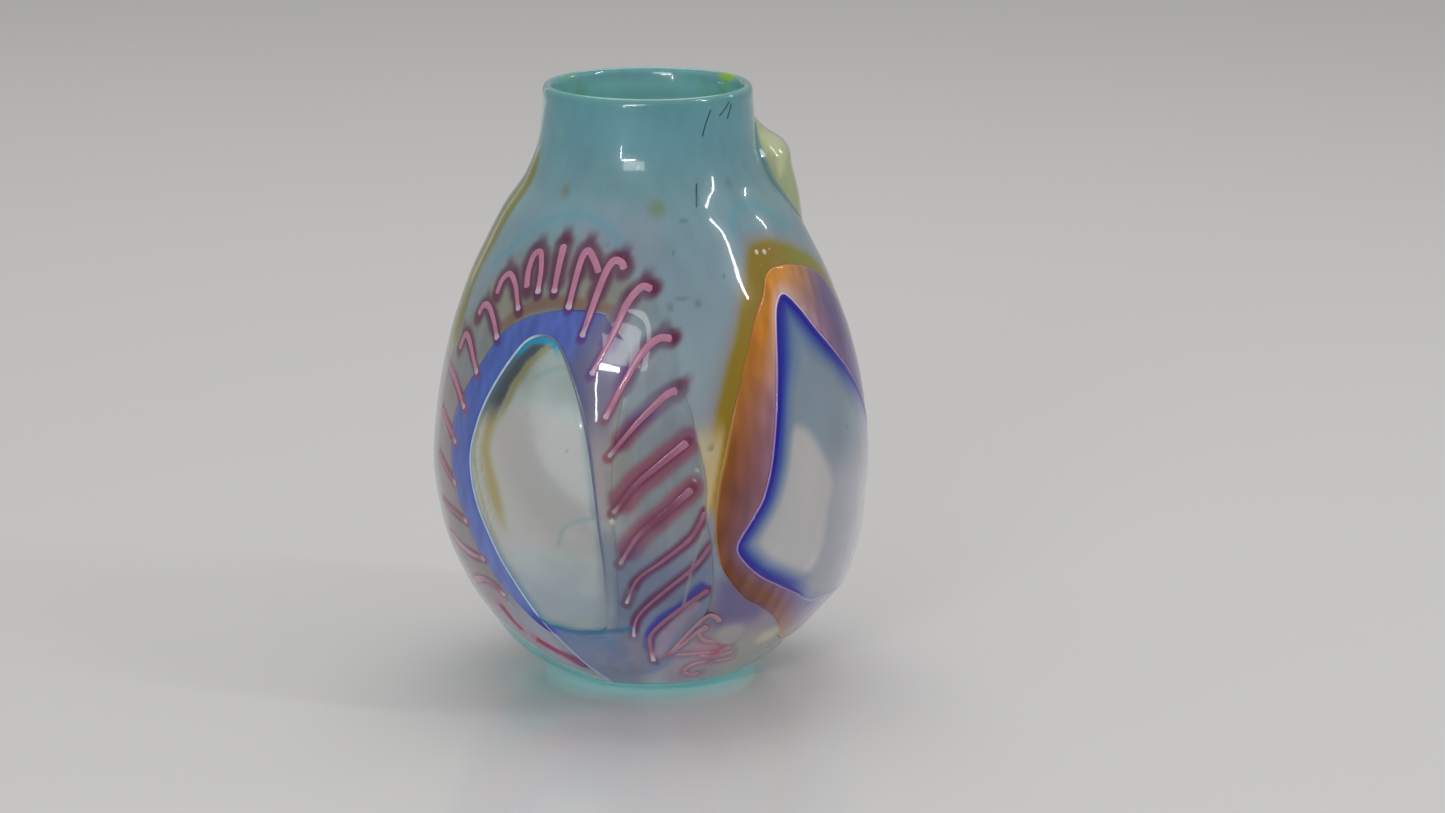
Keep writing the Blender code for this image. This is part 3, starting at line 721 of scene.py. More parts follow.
def paint_foot_end(colour, azimuth, height, cloud):
    """The smoky glass below the arch's sweep, the body's low edge and the rim by the foot."""
    past = azimuth - np.interp(height, *np.array(PALE_SWEEP).T[::-1])
    floor = ramp(-0.6, 0.8, past) * ramp(3, -8, azimuth) * ramp(33, 28, height)
    smoky = np.maximum(ramp(-16, -4, azimuth), 0.7 * ramp(-0.4, 1.0, cloud))
    smoky = mix((0.10, 0.155, 0.27), (0.17, 0.16, 0.20), smoky)
    above = height - np.interp(azimuth, *np.array(EDGE_LINE).T)
    outer = ramp(-14, -22, azimuth)
    return coats(
        colour,
        (smoky, 0.9 * floor),
        ((0.10, 0.37, 0.42), outer * ramp(0.6, -1.0, above)),
        ((0.36, 0.38, 0.43), 0.8 * outer * ramp(1.1, 0.3, np.abs(above - 0.3))),
        ((0.09, 0.30, 0.30), 0.8 * ramp(5.5, 3.2, height) * (1 - outer)),
    )


def paint(azimuth, height):
    """Colour as seen and clearness of the cased wall at azimuths and heights."""
    azimuth = np.asarray(azimuth, dtype=float)
    height = np.asarray(height, dtype=float)
    cloud = soft_noise(azimuth, height, 45, 1)
    colour = paint_overlay(azimuth, height, cloud)
    colour = paint_right_surround(colour, azimuth, height)
    colour = paint_left_surround(colour, azimuth, height)
    colour = paint_foot_end(colour, azimuth, height, cloud)

    window = inside_distance(azimuth, height, LEFT_WINDOW, LEFT_CENTRE)
    left = ramp(-0.4, 0.4, window)
    bottom = near_path(azimuth, height, BOTTOM_LINE, -20)
    line = inside_distance(azimuth, height, RIGHT_COBALT, 60)
    right = ramp(-0.2, 0.4, line)
    petal = inside_distance(azimuth, height, BACK_PETAL, 190)
    far = ramp(-0.5, 1.5, inside_distance(azimuth, height, BACK_WINDOW, 190))
    colour = coats(
        colour,
        (paint_window(azimuth, height, window), left),
        (SLATE, 0.85 * ramp(1.9, 0.5, bottom)),
        (paint_right_window(azimuth, height, line), right),
        (OLIVE, 0.8 * ramp(-8, -0.5, petal) * ramp(0.5, -0.5, petal)),
        ((0.30, 0.14, 0.05), ramp(-0.5, 0.5, petal)),
        (WINDOW_TINT, far),
    )
    # Specks in the glass, and a few painted glints: spots of highlight painted into the colour.
    for at, level, size, tint in SPECKS_AND_GLINTS:
        across = np.radians(turned(azimuth, at)) * radius_at(height)
        mark = np.hypot(across, height - level) / size
        colour = mix(colour, tint, 0.85 * ramp(1.5, 0.6, mark))
    clear = blend(OVERLAY_CLEAR, 0.55, left)
    clear = blend(clear, 0.5 * ramp(1, 9, line), right)
    clear = blend(clear, 0.5, far)
    return colour, blend(clear, 0.45, ramp(212, 219, height))


# ---------------------------------------------------------------- meshes
def ring_faces(rows, columns, close_rows):
    """Quads of a grid whose columns close on themselves, and whose rows may."""
    row = np.arange(rows if close_rows else rows - 1)[:, None] * columns
    column = np.arange(columns)[None, :]
    beside = (column + 1) % columns
    above = (row + columns) % (rows * columns)
    quads = np.stack((row + column, row + beside, above + beside, above + column), axis=-1)
    return quads.reshape(-1, 4)


def signed_volume(points, faces):
    """Six times the volume inside the quads, positive when they face outwards."""
    a, b, c, d = (points[faces[:, k]] for k in range(4))
    return np.sum(a * np.cross(b, c)) + np.sum(a * np.cross(c, d))


def shell_faces(points, close_rows):
    """Faces, all outwards, of a solid that is a grid of closed rows, with caps on open ends."""
    rows, columns = points.shape[:2]
    quads = ring_faces(rows, columns, close_rows)
    inward = signed_volume(points.reshape(-1, 3), quads) < 0
    faces = quads.tolist()
    if not close_rows:
        faces.append(list(range(columns))[::-1])
        faces.append(list(range((rows - 1) * columns, rows * columns)))
    return [face[::-1] for face in faces] if inward else faces


def add_piece(name, points, faces, colour, clear, materials, slot, face_material=None, nodes=()):
    """Makes a smooth mesh piece with its tint and clearness on its vertices.

    A piece with the name of a CAD node stands for it, and gets _glass at the end of its own.
    """
    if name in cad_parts:
        nodes = [name]
        name += "_glass"
    mesh = bpy.data.meshes.new(name)
    mesh.from_pydata(points.reshape(-1, 3).tolist(), [], faces)
    mesh.validate()
    tint = mesh.attributes.new("tint", "FLOAT_COLOR", "POINT")
    rgba = np.ones((len(mesh.vertices), 4))
    rgba[:, :3] = colour.reshape(-1, 3)
    tint.data.foreach_set("color", rgba.ravel())
    clearness = mesh.attributes.new("clear", "FLOAT", "POINT")
    clearness.data.foreach_set("value", np.ravel(clear).astype(float))
    for material in materials:
        mesh.materials.append(material)
    if face_material is not None:
        mesh.polygons.foreach_set("material_index", face_material)
    mesh.shade_smooth()
    ob = bpy.data.objects.new(name, mesh)
    bpy.context.scene.collection.objects.link(ob)
    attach(ob, "root")
    if nodes:
        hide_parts(*nodes)


BAND_EDGE_DROP = 0.3
BAND_SINK = 0.7


def band(name, inner, outer, count, across, lift, paint_band, material, slot):
    """A closed ribbon of glass between two closed outlines, standing lift mm off the wall."""
    inner = even_curve(inner, True, count)[0]
    outer = even_curve(outer, True, count)[0]
    t = np.linspace(0, 1, across)
    share = np.concatenate((t, t[::-1][1:-1:3]))[:, None]
    places = inner * (1 - share[..., None]) + outer * share[..., None]
    azimuth, height = places[..., 0], places[..., 1]
    lifts = np.full(height.shape, -BAND_SINK)
    lifts[:across] = lift(t[:, None], azimuth[:across], height[:across])
    lifts[:across] -= BAND_EDGE_DROP * np.abs(t[:, None] * 2 - 1) ** 14
    points = place(azimuth, height, lifts)
    along = np.broadcast_to(np.arange(count) / count, height.shape)
    colour, clear = paint_band(along, np.broadcast_to(share, height.shape), azimuth, height)
    clear = np.broadcast_to(clear, height.shape)
    colour = glass_tint(colour, clear, height)
    add_piece(name, points, shell_faces(points, True), colour, clear, [material], slot)


THREAD_CLEAR = 0.05
THREAD_SIDES = 12
THREAD_STEP = 0.55
THREAD_SINK = 0.35


def thread(name, path, half_width, rise, material, slot, tint, closed=False):
    """A flattened thread of glass lying in the wall along a path.

    half_width is one number in mm, or one for each end; tint(along, top, azimuth, height) gives
    its colour as seen.
    """
    length = even_curve(path, closed, 8)[1]
    count = max(12, int(length / THREAD_STEP))
    azimuth, height = even_curve(path, closed, count)[0].T
    relief = ribbon_relief(azimuth, height)
    points = place(azimuth, height, relief)
    normal = place(azimuth, height, relief + 1.0) - points
    normal /= np.linalg.norm(normal, axis=1)[:, None]
    if closed:
        along = np.roll(points, -1, axis=0) - np.roll(points, 1, axis=0)
    else:
        along = np.gradient(points, axis=0)
    side = np.cross(normal, along)
    side /= np.linalg.norm(side, axis=1)[:, None]
    reach = np.linspace(0, length, count)
    half_width = np.linspace(*np.broadcast_to(half_width, 2), count)
    fullness = np.ones(count)
    if not closed:
        end = np.minimum(2 * reach, length - reach)
        fullness = np.sqrt(np.clip(1 - (1 - np.clip(end / half_width, 0, 1)) ** 2, 0.02, 1))
        fullness *= 1 + 0.22 * ramp(2.6, 0.6, length - reach) - 0.10 * ramp(0.2, 0.8, reach / length)
    turn = np.arange(THREAD_SIDES) / THREAD_SIDES * 2 * math.pi
    width = np.outer(half_width * fullness, np.cos(turn))
    up = np.outer(fullness, np.where(np.sin(turn) > 0, rise, THREAD_SINK) * np.sin(turn))
    grid = points[:, None] + (side[:, None] * width[..., None] + normal[:, None] * up[..., None]) * MM
    azimuth, height, share, top = np.broadcast_arrays(
        azimuth[:, None], height[:, None], (reach / length)[:, None], np.clip(np.sin(turn), 0, 1))
    clear = np.full(top.shape, THREAD_CLEAR)
    colour = glass_tint(tint(share, top, azimuth, height), clear, height)
    add_piece(name, grid, shell_faces(grid, closed), colour, clear, [material], slot)


# ---------------------------------------------------------------- materials
def new_node(tree, kind, inputs=(), **links):
    """Adds a shader node with (input, value) settings and links into its named inputs."""
    node = tree.nodes.new("ShaderNode" + kind)
    for key, value in inputs:
        node.inputs[key].default_value = value
    for key, output in links.items():
        tree.links.new(output, node.inputs[key])
    return node


def attribute_node(tree, name):
    """A node that reads one of the mesh's vertex attributes."""
    node = new_node(tree, "Attribute")
    node.attribute_name = name
    return node


def glass_material(name, grain, roughness=0.30, coat=1.0, glow=0.0):
    """Cased glass whose colour and clearness come from the mesh, broken up by noise.

    grain is (scale along X and Y, scale along Z, strength) of the fine streaks. glow is how
    strongly the glass gives off its own tint as painted light, with no lamp behind it.
    """
    material = bpy.data.materials.new(name)
    material.use_nodes = True
    tree = material.node_tree
    shader = tree.nodes["Principled BSDF"]
    tint = attribute_node(tree, "tint").outputs["Color"]
    clear = attribute_node(tree, "clear").outputs["Fac"]
    where = new_node(tree, "TexCoord").outputs["Object"]

    stretch = new_node(tree, "Mapping", [("Scale", (grain[0], grain[0], grain[1]))], Vector=where)
    streaks = new_node(tree, "TexNoise", [("Scale", 1.0), ("Detail", 5.0), ("Distortion", 0.6)],
                       Vector=stretch.outputs["Vector"])
    gain = [("From Min", 0.3), ("From Max", 0.7), ("To Min", 1 - grain[2]), ("To Max", 1 + grain[2])]
    spread = new_node(tree, "MapRange", gain, Value=streaks.outputs["Fac"])
    shade = new_node(tree, "VectorMath")
    shade.operation = "SCALE"
    tree.links.new(tint, shade.inputs[0])
    tree.links.new(spread.outputs["Result"], shade.inputs["Scale"])
    haze = new_node(tree, "MapRange", [("To Min", roughness), ("To Max", 0.05)], Value=clear)
    ripple = new_node(tree, "TexNoise", [("Scale", 70.0), ("Detail", 2.0)], Vector=where)
    bump = new_node(tree, "Bump", [("Strength", 0.12), ("Distance", 0.001)],
                    Height=ripple.outputs["Fac"])

    for key, output in (
        ("Base Color", shade.outputs["Vector"]), ("Transmission Weight", clear),
        ("Roughness", haze.outputs["Result"]), ("Emission Color", tint),
        ("Normal", bump.outputs["Normal"]), ("Coat Normal", bump.outputs["Normal"]),
    ):
        tree.links.new(output, shader.inputs[key])
    for key, value in (
        ("IOR", 1.48), ("Specular IOR Level", 0.2), ("Coat Weight", coat), ("Coat Roughness", 0.03),
        ("Coat IOR", 1.5), ("Emission Strength", glow),
    ):
        shader.inputs[key].default_value = value
    return material


# ---------------------------------------------------------------- pieces
# Sizes are in mm. INNER_END, LIP_HEIGHT and OUTER_START are measured down from the top.
WALL_COLUMNS = 420
OUTER_ROWS = 170
INNER_ROWS = 46
LIP_ROWS = 11
MOUTH_ROWS = 9
MOUTH_GLOW = 1.35
MOUTH_CLEAR = 0.3
BORE_TINT = (0.86, 0.93, 0.94)
NECK_THICKNESS = 3.9
BODY_THICKNESS = 4.8
INNER_SLANT = 1.12
INNER_FLOOR = 13.0
INNER_START = 30.0
INNER_END = 6.0
LIP_HEIGHT = 4.0
LIP_INSET = 0.98
OUTER_START = 5.2
LENS_REACH = 1.5
FOOT_CAP_SHARES = (0.92, 0.6, 0.3, 0.02)
# Radius, and height above INNER_FLOOR, of the rows of the inner floor
FLOOR_SECTION = ((0.5, 0), (14, 0.3), (26, 0.9), (36, 2.6), (44, 5.4), (50, 9.5), (54.5, 13.5))
FOOT_GAP = 0.15
LENS_RISE = 0.2


def mouth_colour(azimuth, height):
    """The inside of the mouth, as seen: green at its sides and paler towards the far side."""
    cloud = soft_noise(azimuth, height, 18, 41)
    lit = ramp(16, 8, np.abs(turned(azimuth, 167)))
    lime = np.hypot(turned(azimuth, 125) / 11, (height - 218.5) / 2.2)
    return coats(
        (0.11, 0.235, 0.16),
        ((0.125, 0.28, 0.255), ramp(-0.5, 0.5, cloud)),
        ((0.14, 0.30, 0.30), ramp(60, 25, np.abs(turned(azimuth, 180)))),
        ((0.26, 0.40, 0.44), 0.7 * lit * ramp(208, 205, height)),
        (LIME, 0.8 * ramp(1.3, 0.4, lime)),
    )


def wall_section():
    """Rows of the wall from the inner floor up, over the lip and down: radius, height, cased.

    cased is None on the outside; inside, it is how far the overlay shows, from 0 to 1.
    """
    rows = [(radius, INNER_FLOOR + rise, 0.0) for radius, rise in FLOOR_SECTION]
    for index, height in enumerate(np.linspace(INNER_START, TOP - INNER_END, INNER_ROWS)):
        wall = np.interp(height, (170, 200), (BODY_THICKNESS, NECK_THICKNESS))
        cased = float(ramp(0, 5, index + 1 - (INNER_ROWS - MOUTH_ROWS)))
        rows.append((radius_at(height) - wall * INNER_SLANT, height, cased))
    neck_radius = radius_at(SKIN_HEIGHTS[-1])
    for turn in np.linspace(0, math.pi, LIP_ROWS + 2)[1:-1]:
        radius = neck_radius - NECK_THICKNESS / 2 * (1 + math.cos(turn)) * LIP_INSET
        rows.append((radius, TOP - LIP_HEIGHT + LIP_HEIGHT * math.sin(turn) ** 0.8, None))
    bottom = FOOT_TOP + FOOT_GAP
    for height in np.linspace(TOP - OUTER_START, bottom, OUTER_ROWS):
        rows.append((radius_at(height), height, None))
    return rows + [(radius_at(bottom) * share, bottom, None) for share in FOOT_CAP_SHARES]


def make_wall(outer_glass, inner_glass):
    """The blown wall: bubble, overlay, windows and lip as one closed form."""
    azimuth = FIRST_AZIMUTH + np.arange(WALL_COLUMNS) / WALL_COLUMNS * 360
    turn = np.radians(azimuth)
    points, colours, clears = [], [], []
    for radius, level, cased in wall_section():
        height = np.full(WALL_COLUMNS, float(level))
        radial = radius + wobble(azimuth, height)
        x = radial * np.sin(turn) + lean(height)
        points.append(np.stack((x, -radial * np.cos(turn), height), axis=-1))
        if cased is None:
            colour, clear = paint(azimuth, height)
            colour = glass_tint(colour, clear, height)
        else:
            # The mouth is lit through its walls, which the light here cannot do.
            clear = np.full(WALL_COLUMNS, 1 - (1 - MOUTH_CLEAR) * cased)
            colour = glass_tint(mouth_colour(azimuth, height), clear, height) * MOUTH_GLOW
            colour = mix(BORE_TINT, colour, np.full(WALL_COLUMNS, cased))
        colours.append(colour)
        clears.append(clear)
    points = np.array(points)
    points = (points + lens_moves(azimuth, points)) * MM
    faces = shell_faces(points, False)
    bore = (len(FLOOR_SECTION) + INNER_ROWS - MOUTH_ROWS - 1) * WALL_COLUMNS
    kinds = [int(min(face) < bore) for face in faces]
    nodes = ("clear_bubble", "blue_overlay", "lip_wrap", "left_window_lens", "right_window_lens",
             "back_window_lens", "right_olive_halo")
    add_piece("vessel_wall", points, faces, np.array(colours), np.array(clears),
              [outer_glass, inner_glass], "blue_glass", kinds, nodes)


def lens_moves(azimuth, points):
    """Moves for the wall's points, in mm, that let the left window stand a little proud."""
    height = points[..., 2]
    turn = np.broadcast_to(azimuth, height.shape)
    outside = np.hypot(points[..., 0], points[..., 1]) > radius_at(height) - LENS_REACH
    window = inside_distance(turn, height, LEFT_WINDOW, LEFT_CENTRE)
    lift = LENS_RISE * ramp(0, 3.5, window) * outside
    turn = np.radians(turn)
    return np.stack((lift * np.sin(turn), -lift * np.cos(turn), 0 * lift), axis=-1)


def make_left_group(glass, cane):
    """The cobalt band, the cane ribbon, the pale edge thread, the drawn threads and the curls."""

    def flat_lift(t, azimuth, height):
        melted = ramp(-29, -17, azimuth) * ramp(0.4, 0.8, t)
        return (0.17 - 0.15 * ramp(0.65, 0.98, t) * melted
                - 0.14 * ramp(0.2, 0.95, t) * ramp(-15, -7, azimuth)
                + 0.3 * np.abs(2 * t - 1) ** 14 * melted)

    def cobalt_paint(along, t, azimuth, height):
        seen, _ = paint(azimuth, height)
        smoky = ramp(-29, -17, azimuth - 0.5 * (height - 132) * ramp(124, 134, height))
        fading = np.maximum(ramp(142, 134, height), ramp(-13, -5, azimuth))
        leg = coats(
            (0.125, 0.125, 0.21),
            ((0.27, 0.25, 0.265), ramp(122, 98, height)),
            ((0.17, 0.205, 0.26), ramp(84, 66, height)),
            ((0.21, 0.245, 0.30), ramp(58, 44, height)),
            (seen, ramp(0.35, 0.9, t) * fading),
        )
        blue = coats(
            COBALT,
            ((0.12, 0.165, 0.42), 0.8 * ramp(85, 50, height)),
            ((0.03, 0.035, 0.26), ramp(42, 29, height) * ramp(-30, -36, azimuth)),
        )
        streaks = 1 + 0.12 * soft_noise(azimuth * 3, height, 12, 21)
        tight, soft = thread_haze(azimuth, height)
        haze = mix(ROSE, (0.09, 0.04, 0.17), ramp(116, 130, height))
        colour = coats(
            blue * streaks[..., None],
            (leg, smoky),
            ((0.06, 0.08, 0.26), 0.7 * ramp(0.12, 0.0, t) * (1 - 0.6 * smoky)),
            ((0.035, 0.03, 0.12), 0.9 * ramp(0.93, 0.985, t) * (1 - smoky)),
            (haze, 0.8 * np.maximum(tight, 0.85 * soft * smoky)),
            (seen, ramp(41, 36, height) * ramp(-34, -28, azimuth)),
        )
        return colour, 0.15 + 0.1 * smoky

    band("left_cobalt_band", LEFT_WINDOW, LEFT_COBALT, 420, 25, flat_lift, cobalt_paint, glass,
         "cobalt_glass")

    def ribbon_lift(t, azimuth, height):
        # Stands proud down the right-hand leg and melts into the wall over the arch.
        leg = ribbon_relief(azimuth, height)
        flat = 1 - ramp(0, 0.4, leg)
        melting = 0.14 * blend(1, ramp(1.0, 0.72, t), flat)
        melting = melting - 0.2 * ramp(0.5, 0, t) * ramp(-22, -13, azimuth) * ramp(115, 125, height)
        return leg + melting + 0.25 * flat * np.abs(2 * t - 1) ** 14

    def ribbon_paint(along, t, azimuth, height):
        return paint(azimuth, height)[0], OVERLAY_CLEAR

    inner = grown(even_curve(LEFT_COBALT, True, 160)[0], -0.4)
    band("left_cane_ribbon", inner, LEFT_RIBBON, 560, 60, ribbon_lift, ribbon_paint, glass,
         "smoky_glass")

    def window_tint(along, top, azimuth, height):
        return coats(
            (0.13, 0.15, 0.21),
            ((0.36, 0.47, 0.58), ramp(-31, -37, azimuth) * ramp(32, 35, height)),
            ((0.12, 0.14, 0.28), ramp(0.5, 0.1, top)),
            ((0.19, 0.235, 0.27), ramp(-30, -18, azimuth) * ramp(66, 46, height)),
            (SLATE, ramp(-10, -15, azimuth) * ramp(35.5, 33, height)),
        )

    def sweep_tint(along, top, azimuth, height):
        return mix((0.29, 0.31, 0.41), (0.28, 0.25, 0.32), along)

    thread("left_window_thread", LEFT_WINDOW, 0.5, 0.25, cane, "pale_blue_glass", window_tint,
           closed=True)
    thread("left_sweep_thread", PALE_SWEEP[::-1], (0.6, 1.0), 0.2, cane, "pale_blue_glass", sweep_tint)

    def pink_tint(along, top, azimuth, height):
        lower = ramp(130, 60, height)
        core = mix(PINK, (0.235, 0.115, 0.17), lower)
        facing = ramp(-50, -62, azimuth)
        leg = lower * (1 - facing) * ramp(45, 60, height)
        wide = leg * ramp(128, 118, height) * ramp(70, 78, height)
        corner = ramp(38, 33, height) * ramp(-20, -26, azimuth)
        side = facing * ramp(66, 58, height) * (1 - corner)
        bulb = ramp(0.86, 0.97, along) * ramp(0.05, 0.35, top) * (1 - 0.5 * leg) * (1 - corner)
        return coats(
            MAGENTA,
            (core, np.maximum(ramp(0.05, 0.45, top), 0.8 * facing)),
            ((0.14, 0.045, 0.075), 0.9 * wide * ramp(0.0, 0.25, along)),
            ((0.19, 0.05, 0.10), 0.85 * corner),
            ((0.42, 0.30, 0.38), 0.8 * side * ramp(0.05, 0.45, top)),
            (PINK_BULB, 0.8 * bulb),
        )

    def curl_tint(along, top, azimuth, height):
        darker = 0.8 * ramp(0.55, 0.9, np.sin(azimuth / 3.1))
        core = mix((0.27, 0.17, 0.205), (0.25, 0.09, 0.13), darker)
        return mix((0.15, 0.06, 0.095), core, ramp(0.0, 0.4, top))

    for number, ((_, outer, inner), *path) in enumerate(THREADS, 1):
        thread(f"pink_thread_{number:02d}", path, (outer, inner), 0.28, cane, "pink_glass",
               pink_tint)
    for number, path in enumerate(CURLS, 1):
        thread(f"base_curl_{number}", path, (1.05, 0.8), 0.4, cane, "pink_glass", curl_tint)
    for number, path in enumerate(EXTRA_CURLS, 1):
        thread(f"base_wisp_{number}", path, (0.8, 0.9), 0.3, cane, "pink_glass", curl_tint)


PETAL_TINTS = (
    # share round the outline, then the colour at the inner edge, middle and outer edge
    (0.00, (0.48, 0.33, 0.31), (0.46, 0.21, 0.06), (0.43, 0.18, 0.02)),
    (0.06, (0.46, 0.29, 0.22), (0.42, 0.17, 0.03), (0.38, 0.15, 0.02)),
    (0.13, (0.25, 0.15, 0.22), (0.27, 0.12, 0.09), (0.29, 0.12, 0.03)),
    (0.22, (0.19, 0.10, 0.14), (0.16, 0.07, 0.07), (0.20, 0.075, 0.02)),
    (0.30, (0.16, 0.09, 0.14), (0.14, 0.055, 0.05), (0.16, 0.055, 0.02)),
    (0.36, (0.17, 0.09, 0.17), (0.18, 0.07, 0.03), (0.13, 0.06, 0.08)),
    (0.40, (0.14, 0.12, 0.26), (0.20, 0.11, 0.14), (0.25, 0.13, 0.09)),
    (0.435, (0.18, 0.19, 0.34), (0.23, 0.18, 0.24), (0.32, 0.20, 0.11)),
    (0.475, (0.34, 0.33, 0.41), (0.33, 0.30, 0.38), (0.28, 0.19, 0.17)),
    (0.53, (0.36, 0.35, 0.41), (0.31, 0.27, 0.36), (0.24, 0.15, 0.17)),
    (0.62, (0.20, 0.13, 0.20), (0.26, 0.14, 0.06), (0.30, 0.17, 0.06)),
    (0.72, (0.16, 0.12, 0.22), (0.22, 0.10, 0.06), (0.24, 0.11, 0.05)),
    (0.86, (0.14, 0.10, 0.22), (0.10, 0.08, 0.19), (0.12, 0.10, 0.18)),
    (0.94, (0.26, 0.16, 0.22), (0.18, 0.12, 0.17), (0.22, 0.15, 0.12)),
    (1.00, (0.48, 0.33, 0.31), (0.46, 0.21, 0.06), (0.43, 0.18, 0.02)),
)


def table_colour(table, along, across):
    """Reads a table of (share, inner, middle, outer) colours at places along and across."""
    shares, *columns = zip(*table)
    inner, middle, outer = (read_colours(along, shares, column) for column in columns)
    lower = mix(inner, middle, np.clip(across * 2, 0, 1))
    return mix(lower, outer, np.clip(across * 2 - 1, 0, 1))


PETAL_CLEAR = 0.12
BACK_PETAL_CLEAR = 0.15


def petal_lift(t, azimuth, height):
    """How far a petal band stands off the wall across its width, in mm."""
    return 0.17 + 0.15 * np.sin(math.pi * t)


def make_right_group(glass, cane):
    """The petal band, the cobalt line and the lilac thread beside it."""

    def raised_lift(t, azimuth, height):
        return petal_lift(t, azimuth, height) + 0.17 * t**14

    def petal_paint(along, t, azimuth, height):
        streaks = soft_noise(azimuth * 4, height, 16, 31)
        streaks = 1 + 0.12 * streaks * (1 - 0.85 * ramp(42, 50, azimuth) * ramp(72, 60, height))
        violet = ramp(60, 76, azimuth) * ramp(92, 112, height) * ramp(100, 90, azimuth)
        crisp = ramp(0.93, 1.0, t) * ramp(56, 66, height) * ramp(122, 96, height)
        return coats(
            table_colour(PETAL_TINTS, along, t) * streaks[..., None],
            ((0.085, 0.06, 0.19), 0.75 * violet),
            ((0.44, 0.33, 0.13), 0.8 * crisp * ramp(40, 30, azimuth)),
        ), PETAL_CLEAR

    rim = even_curve(RIGHT_COBALT, True, 160)[0]
    band("right_petal_band", grown(rim, 0.5), RIGHT_PETAL, 460, 25, raised_lift, petal_paint, glass,
         "orange_glass")

    def line_lift(t, azimuth, height):
        return 0.22 * ramp(0.0, 0.6, t) + 0.02

    def line_paint(along, t, azimuth, height):
        base, clear = paint(azimuth, height)
        lost = ramp(45, 56, azimuth) * ramp(52, 44, height) * ramp(110, 98, azimuth)
        haze = mix((0.20, 0.21, 0.35), (0.34, 0.33, 0.40), ramp(55, 66, azimuth))
        return mix(base, mix(DEEP_COBALT, haze, lost), ramp(0.3, 0.8, t)), clear * (1 - t)

    band("right_cobalt_line", grown(rim, -2.6), grown(rim, 0.1), 460, 13, line_lift, line_paint,
         glass, "cobalt_glass")

    def lilac_tint(along, top, azimuth, height):
        return mix((0.30, 0.20, 0.42), (0.55, 0.42, 0.46), ramp(120, 150, height))

    # The thread fades out low on the right, so it starts and ends there.
    around = grown(rim, 0.3)
    fading = (around[:, 0] > 50) & (around[:, 1] < 66)
    around = np.roll(around, -1 - int(np.flatnonzero(fading & ~np.roll(fading, -1))[0]), axis=0)
    around = around[: len(rim) - int(np.sum(fading))]
    thread("right_lilac_thread", around, 0.4, 0.28, cane, "lilac_glass", lilac_tint)


def make_back_group(glass):
    """The petal on the far side: an amber to mauve band and a cobalt line."""

    def petal_paint(along, t, azimuth, height):
        return table_colour(PETAL_TINTS, along, t), BACK_PETAL_CLEAR

    def line_paint(along, t, azimuth, height):
        return mix(COBALT, DEEP_COBALT, t), 0.5 * (1 - t)

    rim = even_curve(BACK_COBALT, True, 120)[0]
    band("back_petal_band", grown(rim, 0.3), BACK_PETAL, 320, 19, petal_lift, petal_paint, glass,
         "orange_glass")
    band("back_cobalt_line", BACK_WINDOW, BACK_COBALT, 320, 7, petal_lift, line_paint, glass,
         "cobalt_glass")


PATCH_SINK = 0.5
DOME_DROP = 0.3


def patch(name, azimuths, heights, lift, colour, clear, material, slot, rings=22, columns=72,
          fade=0.01):
    """A raised oval over a box of azimuths and heights, with its underside in the wall."""
    reach = np.sin(np.linspace(0, 1, rings + 1) * math.pi / 2)
    reach[0] = 0.01
    turn = np.arange(columns) / columns * 2 * math.pi
    u = np.outer(reach, np.cos(turn))
    v = np.outer(reach, np.sin(turn))
    azimuth = np.mean(azimuths) + u * (azimuths[1] - azimuths[0]) / 2
    height = np.mean(heights) + v * (heights[1] - heights[0]) / 2
    points = np.concatenate((place(azimuth, height, lift(u, v)),
                             place(azimuth[::-1], height[::-1], -PATCH_SINK)))
    colours = mix(paint(azimuth, height)[0], colour, ramp(1.0, 1 - fade, np.hypot(u, v)))
    clears = np.full(points.shape[:2], clear)
    colours = glass_tint(np.concatenate((colours, colours[::-1])), clears,
                         np.concatenate((height, height[::-1])))
    add_piece(name, points, shell_faces(points, False), colours, clears, [material], slot)


def dome(rise):
    """The lift of a round drop of glass that stands rise mm off the wall."""
    return lambda u, v: rise * np.sqrt(np.clip(1 - u * u - v * v, 0, 1)) - DOME_DROP


def flap(u, v):
    """The lift of the olive prunt: blunt above and drawn out below."""
    upper = (1 - v) / 0.72
    lower = (1 + v) / 1.16
    blunt = 1 / (upper**-6.0 + lower**-6.0 + 1) ** (1 / 6)
    return 12.5 * blunt * np.clip(1 - u * u - v * v, 0, 1) ** 0.4 - DOME_DROP


def make_drops(glass, clear_glass):
    """The two clear prunts, the olive prunt and the pale seeds."""
    patch("clear_prunt_1", (19.5, 33), (23, 34.5), dome(1.0), (0.25, 0.235, 0.245), 0.2,
          clear_glass, "clear_glass", fade=0.5)
    patch("clear_prunt_2", (37, 53), (18.5, 29), dome(0.7), (0.38, 0.34, 0.28), 0.2, clear_glass,
          "clear_glass", fade=0.9)
    patch("olive_prunt", (82, 128), (165, 209), flap, (0.32, 0.35, 0.215), 0.5, clear_glass,
          "olive_glass")
    for number, (azimuth, height, size) in enumerate(PALE_SEEDS, 1):
        spread = math.degrees(size / float(radius_at(height)))
        patch(f"pale_seed_{number}", (azimuth - spread, azimuth + spread),
              (height - size, height + size), dome(size * 0.8), (0.50, 0.44, 0.36), 0.2, glass,
              "clear_glass", rings=6, columns=20)


def make_neck_cords(cane):
    """Fine dark green cords drawn down from the lip."""

    def tint(along, top, azimuth, height):
        return np.broadcast_to((0.04, 0.085, 0.08), (*top.shape, 3))

    for number, path in enumerate(NECK_CORDS, 1):
        thread(f"neck_cord_{number}", path, 0.3, 0.1, cane, "aqua_glass", tint)


FOOT_COLUMNS = 180
FOOT_CLEAR = 0.35


